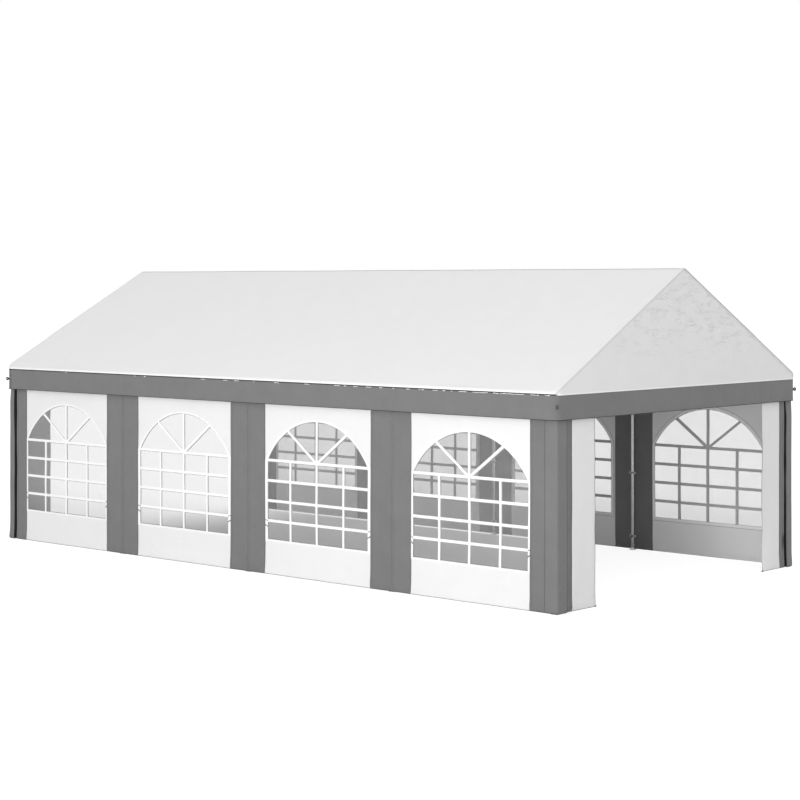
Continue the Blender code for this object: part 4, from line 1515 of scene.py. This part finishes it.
def guy_ring():
    """A rubber ring that stands out along +X on a tab of webbing, in the XZ plane."""
    whole = bmesh.new()
    ring = cord_ring(0.0102, 0.0074, 0.0, 24)
    bmesh.ops.rotate(ring, verts=ring.verts, cent=(0, 0, 0), matrix=UPRIGHT)
    bmesh.ops.scale(ring, verts=ring.verts, vec=(0.9, 1.0, 1.2))
    bmesh.ops.translate(ring, verts=ring.verts, vec=(0.022, 0, 0))
    add_part(whole, ring, 1)
    tab = bmesh.new()
    shape = Matrix.Diagonal((0.018, 0.005, sizes().webbing, 1))
    bmesh.ops.create_cube(tab, size=1.0, matrix=Matrix.Translation((0.009, 0, 0)) @ shape)
    bmesh.ops.bevel(
        tab, geom=tab.edges[:], offset=0.0018, segments=2, profile=0.5, affect="EDGES", material=-1)
    add_part(whole, tab)
    return whole


# Studio


def add_card(name, finish, height, seen):
    """A wide round card under the tent, either for the camera alone or for the light alone."""
    ground = bmesh.new()
    bmesh.ops.create_circle(
        ground, cap_ends=True, segments=64, radius=90.0, matrix=Matrix.Translation((0, 0, height)))
    mesh = bpy.data.meshes.new(name)
    ground.to_mesh(mesh)
    ground.free()
    mesh.materials.append(material_of(finish))
    card = bpy.data.objects.new(name, mesh)
    card.visible_camera = seen
    card.visible_diffuse = card.visible_glossy = card.visible_shadow = not seen
    bpy.context.scene.collection.objects.link(card)


def add_softbox(name, power, place, target, size):
    """A wide soft light that is aimed at a place and isn't seen or mirrored."""
    lamp = bpy.data.lights.new(name, "AREA")
    lamp.shape = "RECTANGLE"
    lamp.size, lamp.size_y = size
    lamp.energy = power
    softbox = bpy.data.objects.new(name, lamp)
    softbox.location = place
    aim_at = Vector(target) - softbox.location
    softbox.rotation_euler = aim_at.to_track_quat("-Z", "Y").to_euler()
    softbox.visible_camera = softbox.visible_glossy = False
    bpy.context.scene.collection.objects.link(softbox)


def add_camera():
    """The camera, level, with its lens shifted so that uprights stay upright."""
    lens = bpy.data.cameras.new("camera")
    lens.lens = LENS_LENGTH
    lens.sensor_width = SENSOR_WIDTH
    lens.shift_x, lens.shift_y = LENS_SHIFT
    lens.clip_end = 300.0
    camera = bpy.data.objects.new("camera", lens)
    camera.location = CAMERA_PLACE
    camera.rotation_euler = (math.radians(90), 0, CAMERA_HEADING)
    bpy.context.scene.collection.objects.link(camera)
    bpy.context.scene.camera = camera


# Operators


class TENT_OT_frame(bpy.types.Operator):
    """Build the steel frame: legs, rafters, rails and tie bars"""

    bl_idname = "tent.frame"
    bl_label = "Frame"

    def execute(self, context):
        for side, y in (("front", -LEG_Y), ("back", LEG_Y)):
            for number, x in enumerate(ARCH_PLACES, start=1):
                add_leg(side, number, x, y)
                add_rafter(side, number, x)

            def eave_sockets(x, side=side, y=y):
                inward = (0, -math.copysign(1, y), 0)
                found = [((0, 0, -1), inward), (up_slope(side), (1, 0, 0))]
                if abs(x) == LEG_X:
                    found.append((inward, (0, 0, 1)))
                return found

            add_rail(f"eave_tube_{side}", f"eave_rail_{side}", y, EAVE_AXIS_Z, eave_sockets)

        def ridge_sockets(x):
            return [(-up_slope(side), (1, 0, 0)) for side in ("front", "back")]

        add_rail("ridge_tube", "ridge_rail", 0.0, RIDGE_AXIS_Z, ridge_sockets)
        for side, x in (("left", -LEG_X), ("right", LEG_X)):
            add_tie(side, x)
        return {"FINISHED"}


class TENT_OT_roof(bpy.types.Operator):
    """Build the roof cover"""

    bl_idname = "tent.roof"
    bl_label = "Roof cover"

    def execute(self, context):
        build_roof()
        return {"FINISHED"}


class TENT_OT_gables(bpy.types.Operator):
    """Build the cloth triangle and the corded edge at each end"""

    bl_idname = "tent.gables"
    bl_label = "Gables"

    def execute(self, context):
        for side in ("left", "right"):
            build_gable(side)
            build_rake_piping(side)
        return {"FINISHED"}


class TENT_OT_valance(bpy.types.Operator):
    """Build the grey valance round the eaves"""

    bl_idname = "tent.valance"
    bl_label = "Valance"

    def execute(self, context):
        build_valance()
        return {"FINISHED"}


class TENT_OT_walls(bpy.types.Operator):
    """Build the eight wall panels"""

    bl_idname = "tent.walls"
    bl_label = "Walls"

    def execute(self, context):
        for side in ("front", "back"):
            for number, middle in window_places(side):
                build_wall(side, number, middle)
        return {"FINISHED"}


class TENT_OT_windows(bpy.types.Operator):
    """Build the eight clear windows with their bars"""

    bl_idname = "tent.windows"
    bl_label = "Windows"

    def execute(self, context):
        for side in ("front", "back"):
            for number, middle in window_places(side):
                build_film(side, number, middle)
                build_bars(side, number, middle)
        return {"FINISHED"}


class TENT_OT_curtains(bpy.types.Operator):
    """Build the four curtains beside the doorways"""

    bl_idname = "tent.curtains"
    bl_label = "Curtains"

    def execute(self, context):
        for side in ("left", "right"):
            for depth in ("front", "back"):
                build_curtain(side, depth)
        return {"FINISHED"}


class TENT_OT_loops(bpy.types.Operator):
    """Build the guy loops at the corners of the valance"""

    bl_idname = "tent.loops"
    bl_label = "Loops"

    def execute(self, context):
        for side, y in (("front", -COVER_Y), ("back", COVER_Y)):
            for end, x in (("left", -COVER_X), ("right", COVER_X)):
                corner = Vector((math.copysign(1, x), math.copysign(1, y), 0))
                way = corner.normalized()
                turn = Matrix.Rotation(math.atan2(way.y, way.x), 4, "Z")
                core = Vector((x, y, 0)) - corner * COVER_FOLD
                place = core + way * (COVER_FOLD - 0.006) + Vector((0, 0, GUY_HEIGHT))
                whole = guy_ring()
                bmesh.ops.transform(whole, matrix=Matrix.Translation(place) @ turn, verts=whole.verts)
                finish_piece(
                    f"guy_loop_{side}_{end}", whole,
                    ["woven_black_webbing", "dark_grey_moulded_rubber"])
        return {"FINISHED"}


class TENT_OT_studio(bpy.types.Operator):
    """Build the floor, the light and the camera"""

    bl_idname = "tent.studio"
    bl_label = "Studio"

    def execute(self, context):
        scene = context.scene
        studio = scene.tent_studio
        # The camera sees the lit floor, and the matt one below it lights the tent and is mirrored
        add_card("studio_floor", "white_lit_card", -0.0005, True)
        add_card("studio_bounce", "white_matt_card", -0.0015, False)
        world = bpy.data.worlds.new("studio_sky")
        world.use_nodes = True
        sky = world.node_tree.nodes["Background"].inputs
        sky["Color"].default_value = (1, 1, 1, 1)
        sky["Strength"].default_value = studio.sky
        scene.world = world
        add_softbox("front_softbox", studio.front, (1.0, -12.5, 1.5), (1.0, -2.0, 1.2), (6.0, 2.5))
        add_softbox("corner_softbox", studio.corner, (8.5, -11.5, 1.5), (3.0, -1.0, 1.0), (4.0, 2.5))
        add_softbox("inside_softbox", studio.inside, (3.8, 1.22, 0.02), (3.85, 2.0, 0.45), (0.9, 0.5))
        add_camera()
        scene.view_settings.view_transform = "Standard"
        return {"FINISHED"}


BUILD_ORDER = (
    TENT_OT_studio, TENT_OT_frame, TENT_OT_roof, TENT_OT_gables, TENT_OT_valance, TENT_OT_walls,
    TENT_OT_windows, TENT_OT_curtains, TENT_OT_loops)
GROUPS = {"tent_sizes": TentSizes, "tent_colours": TentColours, "tent_studio": TentStudio}


class TENT_PT_panel(bpy.types.Panel):
    """Lists the sizes, the colours and the operators"""

    bl_label = "Marquee Tent"
    bl_idname = "TENT_PT_panel"
    bl_space_type = "VIEW_3D"
    bl_region_type = "UI"
    bl_category = "Marquee Tent"

    def draw(self, context):
        layout = self.layout
        for name, group in GROUPS.items():
            box = layout.box()
            for prop in group.__annotations__:
                box.prop(getattr(context.scene, name), prop)
        for kind in BUILD_ORDER:
            layout.operator(kind.bl_idname)


CLASSES = (*GROUPS.values(), *BUILD_ORDER, TENT_PT_panel)


def register():
    """Registers the classes and puts their properties on the scene."""
    for kind in CLASSES:
        bpy.utils.register_class(kind)
    for name, group in GROUPS.items():
        setattr(bpy.types.Scene, name, PointerProperty(type=group))


def unregister():
    """Takes the properties and the classes away again."""
    for name in GROUPS:
        delattr(bpy.types.Scene, name)
    for kind in reversed(CLASSES):
        bpy.utils.unregister_class(kind)


def main():
    """Builds every piece in order."""
    register()
    bpy.ops.tent.studio()
    bpy.ops.tent.frame()
    bpy.ops.tent.roof()
    bpy.ops.tent.gables()
    bpy.ops.tent.valance()
    bpy.ops.tent.walls()
    bpy.ops.tent.windows()
    bpy.ops.tent.curtains()
    bpy.ops.tent.loops()


if __name__ == "__main__":
    main()
